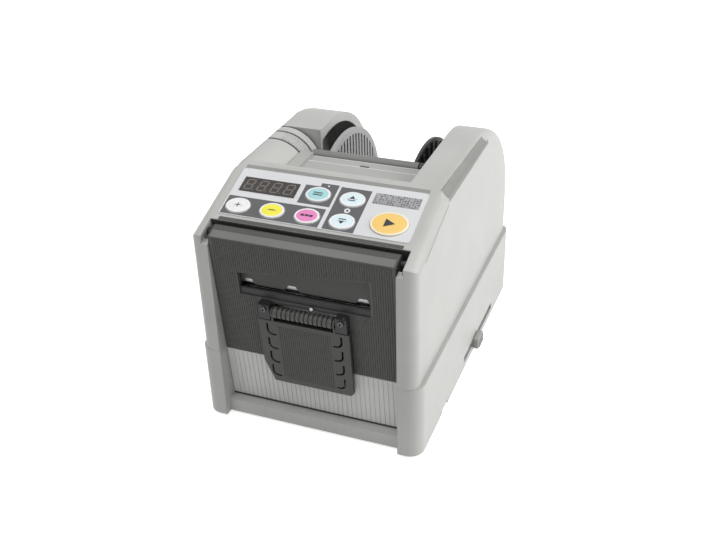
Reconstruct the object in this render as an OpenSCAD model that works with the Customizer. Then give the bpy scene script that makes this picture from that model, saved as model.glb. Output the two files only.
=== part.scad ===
// Electric tape dispenser: a two-part case with a keypad, a hinged front cover with a roller and tray,
// a lift-out reel between two arms, a motor-driven feed roller pair and a motor-driven rising blade.
// X is to the right, Y to the rear, Z up. The origin is the middle of the lower case's underside.

/* [Case] */
// Width of the lower case
body_w = 140; // [136:1:150]
// Depth of the case
body_d = 210; // [206:1:225]
// Height of the arms above the underside
body_h = 145.5; // [143:0.5:152]
// Height of the lower case, where the two halves meet
base_h = 48; // [47:0.5:50]
// Wall thickness of both case halves
wall = 2.5; // [2:0.1:3]
// Inset of the upper case from the lower case
case_step = 2.4; // [1:0.1:3]
// Corner radius of the lower case in plan
corner_r = 9; // [5:0.5:12]
// Edge radius along the flanks of the upper case
flank_r = 7; // [4:0.5:9]
// Height of the crease where the control panel starts
crease_z = 126.5; // [125:0.5:128]
// Distance from the front to the rear edge of the control panel
panel_top_y = 58; // [56:0.5:62]
// Distance of the centre of the arms' rear arcs from the rear
hood_back = 71; // [66:0.5:74]
// Radial width of the rim left round the opening in each arm's inner wall
hood_rim = 6; // [4:0.5:9]
// Thickness of the rubber feet below the underside
foot_h = 2; // [1:0.5:4]
// Radius of the rubber feet
foot_r = 7; // [5:0.5:9]
// Distance of the feet from the case's side and end faces
foot_inset = 16; // [14:0.5:20]
// Depth of the recesses that hold the feet
foot_seat = 0.5; // [0.3:0.1:1]
// Number of vent slots in the floor
vent_n = 6; // [3:1:7]
// Width of the vent slots
vent_w = 2; // [1:0.5:3]
// Distance between the vent slots
vent_pitch = 6; // [5:0.5:6.5]
// Distance from the front to each end of the vent slots
vent_y = [90, 130]; // [85:1:140]
// Distance from the front to each end of the notch under the right side
notch_y = [45, 56]; // [40:1:60]
// Height of that notch
notch_z = 2.4; // [1.5:0.1:2.4]

/* [Well] */
// Distance from the middle to the left arm's inner face
well_left = 36; // [35:0.5:37.5]
// Distance from the middle to the right arm's inner face
well_right = 43; // [42:0.5:44]
// Distance from the front to the front face of the wall ahead of the reel
well_y = 72; // [72:0.1:72.6]
// Height of that wall, below the tape
well_wall_z = 84; // [70:1:88]
// Distance from the front to the lip ahead of the top plate
lip_y = 64; // [62:0.5:66]
// Depth of the top plate below the arms
plate_drop = 7.5; // [7:0.5:9]
// Thickness of the top plate
plate_t = 5; // [4:0.5:6]
// Length of the top plate
plate_l = 36; // [34:0.5:37]
// Height of each step of the top plate
plate_step = 0.8; // [0.4:0.1:1.2]
// Width of the slit in the top plate
slit_w = 6; // [4:0.5:10]
// Length of the slit in the top plate
slit_l = 3.5; // [2:0.5:5]
// Width of the rail along the top plate's left edge
rail_w = 8; // [7:0.1:9]
// Height of the tabs that hold the top plate in the arms
ledge = 3; // [2:0.5:4]
// Radius of the rounded inner shoulder of the left arm
shoulder_r = 22; // [18:0.5:24]
// Distance from the front to the rear end of that shoulder
shoulder_y = 119; // [112:0.5:122]
// Distances from the front to the two forward grooves across the shoulder
shoulder_at = [97, 109]; // [90:0.5:112]
// Width of the three grooves across the shoulder
shoulder_groove = 1.9; // [0.8:0.1:2]
// Depth of those grooves
shoulder_cut = 1.5; // [0.6:0.1:1.5]
// Radius of the scoops along the outer top edges of the arms
scoop_r = 7.2; // [6.8:0.1:7.4]
// Distance from the front to the rear end of the scoops
scoop_y = 142; // [120:1:150]

/* [Front] */
// Width of the front posts at the lower case
post_w = 14; // [12.5:0.5:15.5]
// Lean of the front cover and lower front panel from upright, in degrees
lean = 5.3; // [4.8:0.1:5.6]
// Setback of the cover's top edge from the posts
front_gap = 0.5; // [0.2:0.1:1]
// Thickness of the front cover
cover_t = 3; // [2.5:0.1:3.2]
// Height of the gap between cover and lower front panel, above the underside
cover_z = 46; // [46:0.5:49]
// Distance along the panel from the crease to the hinge
hinge_u = 8.5; // [8:0.5:9.5]
// Radius of the hinge barrel
barrel_r = 5; // [4.5:0.1:5.2]
// Radius of the hinge pin
hinge_pin_r = 2; // [1.5:0.1:2.4]
// Width of the open notch at each end of the hinge
hinge_notch = 4; // [2:0.5:5]
// Length of hinge pin held in each post
hinge_grip = 3; // [2:0.5:4]
// Gap round the cover and its barrel
cover_gap = 0.4; // [0.3:0.1:0.6]
// Half width of the tape slot in the cover
slot_x = 40.2; // [38:0.2:42]
// Height of the lower edge of the tape slot
slot_z = 90; // [89:0.5:91]
// Height of the smooth lip at the slot's lower edge
lip_h = 4.2; // [3:0.1:4.4]
// Depth of that lip's face behind the cover's face
lip_in = 1; // [0.6:0.1:1.4]
// Height of the slot's upper edge at its left end
slot_left_z = 105; // [103:0.5:108]
// Height of the slot's upper edge at its right end
slot_right_z = 114; // [110:0.5:115]
// Height of the sill below the lower front panel
sill_z = 9; // [7:0.5:12]
// Distance from the front to the front face of the sill
sill_y = 5; // [3:0.5:7]
// Distance between the grooves of the lower front panel
groove_pitch = 3; // [2.5:0.1:4]
// Width of those grooves
groove_w = 0.6; // [0.5:0.1:1.4]
// Depth of those grooves
groove_t = 0.3; // [0.3:0.1:0.8]

/* [Roller and tray] */
// Height of the exit roller and tray pin above the underside
exit_z = 83.5; // [82:0.5:84]
// Distance of that pin in front of the cover
exit_out = 2.6; // [2.4:0.1:2.8]
// Radius of the exit roller
exit_r = 3.3; // [3:0.1:3.6]
// Length of the exit roller
exit_l = 36; // [34:0.5:38]
// Number of rings on the exit roller
exit_rings = 13; // [9:1:15]
// Width and depth of the grooves between those rings
ring_gap = 0.9; // [0.6:0.1:1.2]
// Radius of the roller and tray pin
tray_pin_r = 1.2; // [1:0.1:1.3]
// Thickness of the roller bracket's blocks
bracket_t = 5; // [4.8:0.1:5.5]
// Width of each bracket block
bracket_w = 7; // [6:0.5:9]
// Height of each bracket block above the pin
bracket_up = 5.4; // [5.2:0.1:6]
// Radius of the bracket screws
bracket_screw_r = 1; // [0.8:0.1:1]
// Width of the tape tray
tray_w = 56; // [52:0.5:60]
// Length of the tape tray below its pin
tray_l = 51.5; // [46:0.5:54]
// Thickness of the tape tray
tray_t = 2.2; // [1.8:0.1:2.4]
// Thickness of the tray's two arms
tray_arm_t = 1.2; // [1:0.1:1.3]
// Size of the cut left corner of the tray, across and up
tray_cut = [5.5, 15]; // [2:0.5:16]
// Number of hooked slits on each side of the tray
tray_slits = 4; // [2:1:4]
// Distance between the slits
tray_slit_pitch = 10.5; // [9:0.1:10.8]
// Middle radius of each slit's hook
tray_slit_r = 3.5; // [2.4:0.1:3.6]
// Width of the slits
tray_slit_w = 1.2; // [0.6:0.1:1.4]

/* [Control panel] */
// Distance of the printed overlay from the case's sides
overlay_inset = 12.5; // [11.5:0.5:14]
// Distance along the panel from the crease to the overlay
overlay_u = 19; // [18:0.5:20]
// Length of the overlay along the panel
overlay_l = 38.5; // [37.5:0.5:39]
// Thickness of the overlay
overlay_t = 0.4; // [0.3:0.1:0.6]
// Places across the overlay of the small keys, left to right, as shares of its width
key_share = [-0.4165, -0.2304, -0.0435, 0.1391]; // [-0.43:0.001:0.15]
// Places along the overlay of the lower and upper key rows
key_v = [7.6, 25.2]; // [7:0.1:26]
// Place of the start key across the overlay, as a share of its width
start_share = 0.3704; // [0.36:0.001:0.38]
// Place of the start key along the overlay
start_v = 11.2; // [11:0.1:12]
// Half width of the small keys
key_a = 7.4; // [6:0.1:7.8]
// Half length of the small keys
key_b = 5.8; // [5:0.1:6.2]
// Half width of the start key
start_a = 11; // [9:0.1:11.4]
// Half length of the start key
start_b = 8.8; // [7:0.1:9]
// Height of the keys above the overlay
key_rise = 1; // [0.6:0.1:1.5]
// Travel of the keys
key_travel = 0.8; // [0.5:0.1:1]
// Gap round the keys
key_gap = 0.2; // [0.15:0.05:0.4]
// Radius of the key stems
stem_r = 1.5; // [1.2:0.1:1.8]
// Gap round the key stems
stem_gap = 0.06; // [0.04:0.01:0.1]
// Side of the square key switches
switch_w = 6; // [5:0.1:7]
// Height of the key switches above the control board
switch_h = 3.4; // [3:0.1:3.6]
// Size of the display window, across and along
window = [35, 11.6]; // [10:0.2:36]
// Place of the display window's middle across the overlay, as a share of its width
window_share = -0.3096; // [-0.32:0.001:-0.3]
// Place of the display window's middle along the overlay
window_v = 25.4; // [24.5:0.1:26]
// Depth of the control board below the panel
board_depth = 9; // [8.5:0.5:10]
// Thickness of the circuit boards
board_t = 1.6; // [1:0.1:2]
// Height of the window's face above the overlay
window_up = 0.3; // [0.1:0.1:0.6]

/* [Reel] */
// Distance of the reel's axis from the rear
reel_back = 71; // [70:0.5:71.5]
// Gap between the reel discs and the floor
reel_floor = 9; // [8:0.5:12]
// Gap between the reel discs and the wall ahead of them
reel_front = 2; // [1.5:0.5:5]
// Thickness of the reel discs
disc_t = 3; // [2:0.1:3.2]
// Clear width between the reel discs
reel_w = 53; // [48:0.5:53.5]
// Outside radius of the reel core
core_r = 37.8; // [35:0.1:40]
// Wall of the reel core
core_wall = 3.5; // [2.5:0.1:5]
// Radius of the reel spindle
spindle_r = 4; // [3:0.1:5]
// Running gap of shafts in their bores
run_gap = 0.06; // [0.03:0.01:0.1]
// Angle of the open slots in the bearing stands above level, in degrees
lift_angle = 40; // [38:1:42]
// Thickness of the bearing stands
stand_t = 4.5; // [3.5:0.1:4.7]
// Half width of the bearing stands
stand_w = 12; // [9:0.5:16]
// Distance between the slots of the left disc
disc_pitch = 5.2; // [4.5:0.1:6.5]
// Width of those slots
disc_slot = 2.6; // [1.5:0.1:3]
// Number of ribs on the right disc
disc_ribs = 24; // [12:1:30]
// Distance from the front to the guide roller
guide_y = 104.5; // [104:0.5:105.5]
// Depth of the guide roller's axle below the arms
guide_drop = 10.5; // [10:0.5:11.5]
// Depth of the highest point of the reel below the arms
reel_drop = 9.5; // [9:0.5:11]
// Radius of the guide roller
guide_r = 3.5; // [3:0.1:3.8]
// Radius of the guide roller's axle
guide_axle_r = 1.5; // [1:0.1:2]

/* [Feed] */
// Distance from the front to the feed rollers
feed_y = 38; // [37.5:0.5:38.5]
// Height of the tape between the feed rollers
tape_z = 95; // [94.5:0.5:95.5]
// Radius of the feed and press rollers
roller_r = 9; // [8.5:0.1:9.4]
// Gap between the feed and press rollers
nip_gap = 0.4; // [0.2:0.1:0.8]
// Length of the rollers' rubber
rubber_l = 70; // [56:1:74]
// Distance between the grooves in the feed roller's rubber
rubber_pitch = 14; // [10:0.5:16]
// Width of those grooves
rubber_groove = 3; // [2:0.1:4]
// Depth of those grooves
rubber_cut = 1.2; // [0.8:0.1:2]
// Radius of the roller shafts
shaft_r = 3; // [2.5:0.1:3.2]
// Wall of the shaft bushes
bush_t = 1; // [0.8:0.1:1.5]
// Number of teeth on each synchronising gear
sync_teeth = 18; // [16:1:20]
// Number of teeth on the feed gear
feed_teeth = 30; // [30:1:31]
// Number of teeth on the feed motor's pinion
feed_pinion_teeth = 15; // [15:1:16]
// Tooth module of the feed gear and pinion
feed_m = 1.3333; // [1.32:0.01:1.36]
// Direction from the feed shaft to the feed motor, below level, in degrees
feed_motor_angle = 52; // [50:0.5:52]
// Side of the square feed motor
feed_motor_w = 28; // [25:0.2:28]
// Length of the feed motor
feed_motor_l = 30; // [25:1:36]
// Radius of the motor shafts
motor_shaft_r = 2; // [1.5:0.1:2.5]
// Width of the gears
gear_t = 4; // [3:0.1:4.4]
// Length of shaft past each gear
shaft_end = 0.5; // [0.3:0.1:1]
// Width and thickness of the bushes' flanges
bush_flange = 1; // [0.6:0.1:1.2]
// Play between gear teeth
backlash = 0.2; // [0.15:0.05:0.3]

/* [Cutter] */
// Thickness of both blades
blade_t = 1.5; // [1:0.1:1.8]
// Distance from the front to the blade guard
guard_y = 7.2; // [7.2:0.1:7.4]
// Thickness of the blade guard
guard_t = 1.5; // [1:0.1:1.5]
// Running gap between the two blades
shear_gap = 0.1; // [0.05:0.05:0.2]
// Height of the fixed blade's edge above the tape
blade_up = 1; // [0.5:0.5:4]
// Depth of the moving blade's edge below the tape at rest
blade_down = 2.5; // [2:0.5:4]
// Rise of the moving blade
blade_stroke = 7; // [6:0.5:7]
// Height of the moving blade's carriage
carriage_h = 10; // [8:0.5:11]
// Height of the beam that carries the fixed blade
beam_h = 9; // [8:0.5:9.5]
// Height of the beam's lower face above the tape
beam_up = 8; // [7.5:0.5:8.5]
// Height of the guard's lower edge above the tape
guard_up = 0.8; // [0.5:0.1:1.2]
// Distances of the three notches of the blade guard from the middle
guard_notch_at = [-36, -8.6, 34.5]; // [-37:0.1:37]
// Height of those notches
guard_notch_h = 3.4; // [3:0.1:5]
// Width of the notches of the blade guard
guard_notch_w = 9; // [6:0.5:12]
// Half width of the blades
blade_x = 40; // [38:0.5:41]
// Radius of the guide posts
post_r = 2.5; // [2:0.1:2.8]
// Half distance between the guide posts
post_x = 34.5; // [34:0.5:35]
// Distance from the front to the guide posts
post_y = 19; // [18.5:0.5:19.5]
// Number of teeth on the lift pinions
lift_teeth = 14; // [13:1:14]
// Tooth module of the lift pinions and racks
lift_m = 1; // [0.95:0.01:1]
// Height of the cutter shaft above the underside
cutter_z = 68; // [67:0.5:69]
// Number of teeth on the cutter gear
cutter_teeth = 28; // [27:1:29]
// Number of teeth on the cutter motor's pinion
cutter_pinion_teeth = 14; // [13:1:15]
// Tooth module of the cutter gear and pinion
cutter_m = 1.1; // [1.08:0.01:1.14]
// Direction from the cutter shaft to its motor, below level, in degrees
cutter_motor_angle = 15; // [13:0.5:17]
// Radius of the cutter motor
cutter_motor_r = 11.5; // [9:0.1:11.8]
// Length of the cutter motor
cutter_motor_l = 30; // [24:1:36]

/* [Chassis] */
// Distance of the chassis side plates' inner faces from the case's sides
chassis_inset = 25; // [24.5:0.1:25]
// Thickness of the chassis sheet
sheet = 2; // [1.5:0.1:2.2]
// Distance from the front to the chassis
chassis_y = 12.5; // [12.4:0.1:13]
// Height of the chassis side plates above the underside
chassis_z = 114; // [112:1:117]
// Gap between a side plate and the gears beside it
gear_clear = 1; // [0.5:0.1:1.2]
// Sideways step from the feed gear to the cutter gear
gear_step = 1.4; // [1:0.1:1.6]
// Distance of the rear chassis screws from the middle
chassis_screw_x = 8; // [6:0.5:9]
// Distances of the case screws from the front and from the rear
case_screw_y = [24, 34]; // [20:1:40]
// Height of the case screws' heads above the underside
case_screw_z = 30; // [26:1:36]
// Radius of the screws
screw_r = 1.5; // [1.2:0.1:1.7]
// Radius of the screw bosses
boss_r = 3.5; // [3:0.1:3.6]

/* [Slider and rear] */
// Distances of the slider's slot from the front and from the rear
slide_ends = [94, 46]; // [42:1:100]
// Height of the slider's slot, bottom and top
slide_z = [4, 9]; // [3:0.5:10]
// Distance from the front to the slider at rest
slider_y = 120; // [112:0.5:130]
// Length, height and projection of the slider's knob
slider_knob = [12, 8, 5]; // [4:0.5:14]
// Gap between the slider and its slot
slide_gap = 0.15; // [0.1:0.05:0.3]
// Distance of the power jack and rocker switch from the case's sides
rear_inset = 15; // [14:0.5:16]
// Height of the power jack and rocker switch above the underside
rear_z = 24; // [22:0.5:28]
// Radius of the power jack
jack_r = 5.5; // [5:0.1:7]
// Radius of the bore in the power jack
jack_bore = 3.2; // [2.8:0.1:4]
// Radius of the contact pin in the power jack
jack_pin = 1; // [0.6:0.1:1.3]
// Width and height of the rocker switch's body
rocker_box = [13, 19]; // [12:0.5:20]
// Depth of the rocker switch's body
rocker_depth = 14; // [12:0.5:16]
// Depth of the rocker's well
rocker_well = 8; // [7:0.5:9]
// Tilt of the rocker to each side, in degrees
rocker_tilt = 7; // [5:0.5:8]
// Height of the driver board above the underside
driver_z = 12; // [10:0.5:14]
// Distance from the front to each end of the driver board
driver_y = [84, 150]; // [82:1:152]

/* [Hidden] */
$fn = 48;
eps = 0.1;

upper_x = body_w / 2 - case_step;
rear_x = body_w / 2 - rear_inset;
front_x = body_w / 2 - post_w;
cover_x = front_x - cover_gap;
hood_y = body_d - hood_back;
hood_r = hood_back - case_step;
hood_z = body_h - hood_r;
panel_angle = atan((body_h - crease_z) / panel_top_y);
hinge_y = hinge_u * cos(panel_angle) + barrel_r * sin(panel_angle);
hinge_z = crease_z + hinge_u * sin(panel_angle) - barrel_r * cos(panel_angle);
recess_u = hinge_u + barrel_r + 2 * cover_gap;
plate_z = body_h - plate_drop;
reel_y = body_d - reel_back;
reel_z = (body_h - reel_drop + wall + reel_floor) / 2;
guide_z = body_h - guide_drop;
disc_r = min(reel_z - wall - reel_floor, reel_y - well_y - wall - reel_front);
feed_z = tape_z - roller_r - nip_gap / 2;
press_z = tape_z + roller_r + nip_gap / 2;
sync_m = 2 * (2 * roller_r + nip_gap) / (2 * sync_teeth);
feed_motor_d = feed_m * (feed_teeth + feed_pinion_teeth) / 2;
feed_motor_y = feed_y + feed_motor_d * cos(feed_motor_angle);
feed_motor_z = feed_z - feed_motor_d * sin(feed_motor_angle);
fixed_y = guard_y + guard_t;
moving_y = fixed_y + blade_t + shear_gap;
carriage_y = moving_y + blade_t;
rack_y = post_y + 6;
rack_pitch_y = rack_y + lift_m;
lift_r = lift_m * lift_teeth / 2;
cutter_y = rack_pitch_y + lift_r;
cutter_motor_d = cutter_m * (cutter_teeth + cutter_pinion_teeth) / 2;
cutter_motor_y = cutter_y + cutter_motor_d * cos(cutter_motor_angle);
cutter_motor_z = cutter_z - cutter_motor_d * sin(cutter_motor_angle);
carriage_z = cutter_z - 2;
plate_x = body_w / 2 - chassis_inset;
gear_x = plate_x + sheet + gear_clear;
cutter_gear_x = gear_x + gear_t + gear_step;
beam_z = tape_z + beam_up;
floor_z = base_h - sheet;
chassis_back = well_y - 0.5;
chassis_screw_at = [[-chassis_screw_x, chassis_back - 6], [chassis_screw_x, chassis_back - 6],
    [-plate_x + 5, chassis_y + 15], [plate_x - 5, chassis_y + 15]];
case_screw_x = upper_x - wall - boss_r + 0.3;
case_screw_at = [for (x = [-case_screw_x, case_screw_x], y = [case_screw_y[0], body_d - case_screw_y[1]])
    [x, y]];
exit_v = (exit_z - crease_z) / cos(lean);
bracket_x = exit_l / 2 + tray_arm_t + 1;
overlay_w = body_w - 2 * overlay_inset;
key_x = key_share * overlay_w;
low_u = overlay_u + key_v[0];
high_u = overlay_u + key_v[1];
key_places = [
    ["button_plus", key_x[0], low_u],
    ["button_minus", key_x[1], low_u],
    ["button_select", key_x[2], low_u],
    ["button_mode", key_x[2], high_u],
    ["button_reverse", key_x[3], high_u],
    ["button_forward", key_x[3], low_u],
    ["button_start", start_share * overlay_w, overlay_u + start_v]];
pressure_angle = 20;
rail_in = 5;
plate_share = [1, 0.75, 0.4];
rack_low = cutter_z - blade_stroke - 6;
rack_half = PI * lift_m / 4 - backlash / 4;
rack_tooth = [[-1.01 * lift_m, -rack_half - lift_m * tan(pressure_angle)],
    [0.85 * lift_m, -rack_half + 0.85 * lift_m * tan(pressure_angle)],
    [0.85 * lift_m, rack_half - 0.85 * lift_m * tan(pressure_angle)],
    [-1.01 * lift_m, rack_half + lift_m * tan(pressure_angle)]];

module from_front() translate([0, -body_d / 2, 0]) children();
module on_panel() from_front() translate([0, 0, crease_z]) rotate([panel_angle, 0, 0]) children();
module on_cover() from_front() translate([0, front_gap, crease_z]) rotate([lean, 0, 0]) children();
module along_x(length) translate([-length / 2, 0, 0]) rotate([90, 0, 90]) linear_extrude(length) children();
module rod(radius, x1, x2) translate([x1, 0, 0]) rotate([0, 90, 0]) cylinder(r = radius, h = x2 - x1);
module both_sides() {
    children();
    mirror([1, 0, 0]) children();
}
function well(s) = s < 0 ? well_left : well_right;
module each_arm() for (s = [-1, 1]) mirror([s < 0 ? 1 : 0, 0, 0]) translate([well(s), 0, 0]) children();
module at_yz(y, z) translate([0, y, z]) children();
module rounded_plan(w, y1, y2, r) {
    translate([-w / 2, y1 + r]) square([w, y2 - y1 - 2 * r]);
    translate([-w / 2 + r, y1]) square([w - 2 * r, y2 - y1]);
    for (x = [-w / 2 + r, w / 2 - r], y = [y1 + r, y2 - r]) translate([x, y]) circle(r);
}
module box(x1, x2, y1, y2, z1, z2) translate([x1, y1, z1]) cube([x2 - x1, y2 - y1, z2 - z1]);
function ellipse(a, b) = [for (t = [0:12:348]) [a * cos(t), b * sin(t)]];
function cover_face(z) = front_gap + (crease_z - z) * tan(lean);

// Involute gears: the half tooth angle at a radius, then the outline of one tooth after another
function involute(a) = tan(a) * 180 / PI - a;
function half_tooth(m, n, r) = 90 / n - backlash / (m * n) * 90 / PI + involute(pressure_angle)
    - involute(acos(min(1, m * n / 2 * cos(pressure_angle) / r)));
function gear_outline(m, n) = let (
        pitch = m * n / 2,
        base = pitch * cos(pressure_angle),
        tip = pitch + 0.9 * m,
        root = pitch - 1.2 * m,
        radii = [for (i = [0:4]) max(base, root) + (tip - max(base, root)) * i / 4])
    [for (k = [0:n - 1]) let (mid = 360 * k / n) each concat(
        [root * [cos(mid - half_tooth(m, n, radii[0])), sin(mid - half_tooth(m, n, radii[0]))]],
        [for (r = radii) r * [cos(mid - half_tooth(m, n, r)), sin(mid - half_tooth(m, n, r))]],
        [for (i = [4:-1:0]) let (half = half_tooth(m, n, radii[i])) radii[i] * [cos(mid + half),
            sin(mid + half)]],
        [root * [cos(mid + half_tooth(m, n, radii[0])), sin(mid + half_tooth(m, n, radii[0]))]])];
module gear(m, n, phase, x, bore) translate([x, 0, 0]) rotate([90, 0, 90]) linear_extrude(gear_t)
    difference() {
    rotate(phase) polygon(gear_outline(m, n));
    circle(bore);
}

// Side outline of the upper case, drawn in by d on all sides but the bottom
function case_outline(d) = let (tilt = panel_angle) concat(
    [[d, base_h - 20], [d, crease_z + d * tan(tilt) - d / cos(tilt)],
     [panel_top_y + d * (1 / cos(tilt) - 1) / tan(tilt), body_h - d]],
    [for (a = [90:-7.5:0]) [hood_y + (hood_r - d) * cos(a), hood_z + (hood_r - d) * sin(a)]],
    [[body_d - case_step - d, base_h - 20]]);
module case_form(inset, r) from_front() hull() {
    for (a = [0:18:90]) along_x(2 * (upper_x - inset - r * (1 - sin(a))))
        polygon(case_outline(inset + r * (1 - cos(a))));
}
module case_cut(z) translate([-body_w, -body_d, z - 100]) cube([2 * body_w, 2 * body_d, 100]);
module key_holes(gap, t1, t2) for (k = key_places) translate([k[1], k[2], t1]) linear_extrude(t2 - t1)
    polygon(k[0] == "button_start" ? ellipse(start_a + gap, start_b + gap) : ellipse(key_a + gap,
        key_b + gap));
module window_hole(gap, t1, t2) translate([window_share * overlay_w, overlay_u + window_v, (t1 + t2) / 2])
    cube([window[0] + 2 * gap, window[1] + 2 * gap, t2 - t1], center = true);

module lower_case() color("silver") from_front() difference() {
    union() {
        difference() {
            linear_extrude(base_h) rounded_plan(body_w, 0, body_d, corner_r);
            translate([0, 0, wall]) linear_extrude(base_h)
                rounded_plan(body_w - 2 * wall, wall, body_d - wall, corner_r - wall);
        }
        both_sides() box(front_x, front_x + wall, wall / 2, cover_face(0) + cover_t + wall, wall / 2, base_h);
        box(-front_x, front_x, sill_y, cover_face(0) + cover_t + wall, 0, sill_z);
        each_arm() box(0, wall, well_y, body_d - wall / 2, wall / 2, base_h);
        box(-well_left - eps, well_right + eps, well_y, well_y + wall, wall / 2, base_h);
        for (p = chassis_screw_at) translate([p[0], p[1], wall / 2]) cylinder(r = boss_r,
            h = floor_z - wall / 2);
        for (p = case_screw_at) translate([p[0], p[1], wall / 2]) cylinder(r = boss_r + 1.5,
            h = base_h - wall / 2);
    }
    box(-front_x, front_x, -1, sill_y, -1, base_h + 1);
    box(-front_x, front_x, sill_y - 1, cover_face(0) + cover_t + wall + 1, sill_z, base_h + 1);
    for (p = chassis_screw_at) translate([p[0], p[1], floor_z - 12]) cylinder(r = screw_r, h = 13);
    for (p = case_screw_at) translate([p[0], p[1], -1]) {
        cylinder(r = screw_r + 0.1, h = base_h + 2);
        cylinder(r = 2 * screw_r + 0.2, h = case_screw_z + 1);
    }
    for (x = [-1, 1], y = [foot_inset, body_d - foot_inset])
        translate([x * (body_w / 2 - foot_inset), y, -1]) cylinder(r = foot_r, h = foot_seat + 1);
    box(body_w / 2 - wall - 1, body_w, slide_ends[0], body_d - slide_ends[1], slide_z[0], slide_z[1]);
    box(body_w / 2 - wall - 1, body_w, notch_y[0], notch_y[1], -1, notch_z);
    translate([-rear_x, body_d + 1, rear_z]) rotate([90, 0, 0]) cylinder(r = jack_r, h = wall + 2);
    box(rear_x - rocker_box[0] / 2, rear_x + rocker_box[0] / 2, body_d - wall - 1, body_d + 1,
        rear_z - rocker_box[1] / 2, rear_z + rocker_box[1] / 2);
    for (i = [1:vent_n]) translate([-upper_x + foot_inset + i * vent_pitch, 0, 0])
        box(-vent_w, 0, vent_y[0], vent_y[1], -1, wall + 1);
}

module upper_case() color("gainsboro") difference() {
    union() {
        difference() {
            case_form(0, flank_r);
            case_form(wall, flank_r - wall);
        }
        intersection() {
            case_form(0, flank_r);
            from_front() union() {
                both_sides() box(front_x, front_x + wall, 0, cover_face(base_h) + cover_t + wall, base_h,
                    crease_z);
                both_sides() box(front_x + hinge_notch - 1, body_w / 2, 1, recess_u + 4, hinge_z - 12,
                    body_h);
                each_arm() box(0, wall, well_y, body_d, base_h, body_h);
                box(-well_left - wall, well_right + wall, well_y, well_y + wall, base_h, well_wall_z);
                each_arm() box(0, wall, lip_y - wall, well_y + 1, guide_z - 6, body_h);
                box(-well_left - shoulder_r, well_right + wall, lip_y - wall, lip_y, plate_z - plate_t,
                    body_h);
                shoulder();
                for (p = case_screw_at) translate([p[0], p[1], base_h]) cylinder(r = boss_r, h = 22);
            }
        }
    }
    case_cut(base_h);
    from_front() {
        box(-well_left, well_right, well_y + wall + 0.6, body_d + 1, base_h - 1, body_h + 1);
        box(-well_left, well_right, lip_y, well_y + wall + 1, plate_z - plate_t - ledge - 4, body_h + 1);
        shoulder_cutter();
        box(-front_x, front_x, -1, cover_face(base_h) + cover_t + wall + 1, base_h - 1, hinge_z);
        each_arm() intersection() {
            at_yz(hood_y, hood_z) rod(hood_r - hood_rim, -1, wall + eps);
            box(-1, body_w, shoulder_y + wall, body_d, base_h + 10, body_h);
        }
        along_x(2 * (front_x + hinge_notch)) {
            translate([0, crease_z]) rotate(panel_angle) translate([-flank_r, -barrel_r])
                square([recess_u + flank_r, barrel_r + flank_r]);
            translate([hinge_y, hinge_z]) circle(barrel_r + cover_gap);
        }
        at_yz(hinge_y, hinge_z) rod(hinge_pin_r, -front_x - hinge_notch - hinge_grip,
            front_x + hinge_notch + hinge_grip);
        at_yz(guide_y, guide_z) rod(guide_axle_r, -well_left - 6, well_right + wall + 1);
        for (p = case_screw_at) translate([p[0], p[1], base_h - 1]) cylinder(r = screw_r, h = 12);
        each_arm() box(-eps, wall + eps, lip_y - eps, lip_y + plate_l + 1.2,
            plate_z - plate_t - ledge, plate_z - plate_t);
        arm_grooves();
    }
    on_panel() {
        key_holes(key_gap, -2 * wall, 1);
        window_hole(0, -2 * wall, 1);
    }
}

// Hollow scoops along the outer top edges of the arms
module arm_grooves() both_sides() translate([upper_x + 2.2, 0, body_h + 2.2]) {
    rotate([-90, 0, 0]) cylinder(r = scoop_r, h = scoop_y);
    translate([0, scoop_y, 0]) sphere(scoop_r);
}

// Rounded inner shoulder of the left arm: its skin, and the cut that shapes it with three grooves
module shoulder_round(r) translate([-well_left - shoulder_r, 0, body_h - shoulder_r])
    rotate([-90, 0, 0]) cylinder(r = r, h = body_d);
module shoulder() {
    difference() {
        box(-well_left - shoulder_r, -well_left, lip_y - wall, shoulder_y + wall, body_h - shoulder_r,
            body_h);
        shoulder_round(shoulder_r - wall);
    }
    for (y = [lip_y - wall, shoulder_y])
        box(-well_left - shoulder_r, -well_left, y, y + wall, body_h - shoulder_r, body_h);
}
module shoulder_cutter() {
    difference() {
        box(-well_left - shoulder_r, 0, lip_y, shoulder_y, body_h - shoulder_r, body_h + 1);
        shoulder_round(shoulder_r);
    }
    for (y = [each shoulder_at, shoulder_y - shoulder_groove]) difference() {
        box(-upper_x, 0, y, y + shoulder_groove, body_h - shoulder_r, body_h + 1);
        box(-body_w, -well_left - shoulder_r, 0, body_d, 0, body_h - shoulder_cut);
        shoulder_round(shoulder_r - shoulder_cut);
    }
}

module lower_front_panel() color("darkgray") difference() {
    from_front() along_x(2 * cover_x) polygon([
        [cover_face(sill_z), sill_z], [cover_face(cover_z), cover_z],
        [cover_face(cover_z) + cover_t, cover_z], [cover_face(sill_z) + cover_t, sill_z]]);
    for (x = [0:groove_pitch:cover_x - 2], s = [-1, 1]) on_cover()
        box(s * x - groove_w / 2, s * x + groove_w / 2, -1, groove_t, -crease_z, cover_z - crease_z);
}

module top_plate() color("gainsboro") from_front() difference() {
    union() {
        for (i = [0:2]) box(-well_left + cover_gap, well_right - cover_gap, lip_y,
            lip_y + plate_l * plate_share[i], plate_z - plate_t, plate_z - (2 - i) * plate_step);
        difference() {
            box(-well_left - rail_in, rail_w - rail_in - well_left, lip_y, lip_y + plate_l, plate_z - 2,
                plate_z + plate_step);
            shoulder_round(shoulder_r + 0.1);
        }
        each_arm() box(-2, wall, lip_y, lip_y + plate_l, plate_z - plate_t - ledge, plate_z - plate_t);
    }
    translate([(well_right - well_left) / 2, lip_y + plate_l * plate_share[1] + 0.4, 0])
        box(-slit_w / 2, slit_w / 2, 0, slit_l, plate_z - plate_t - 1, plate_z + 1);
}

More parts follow.
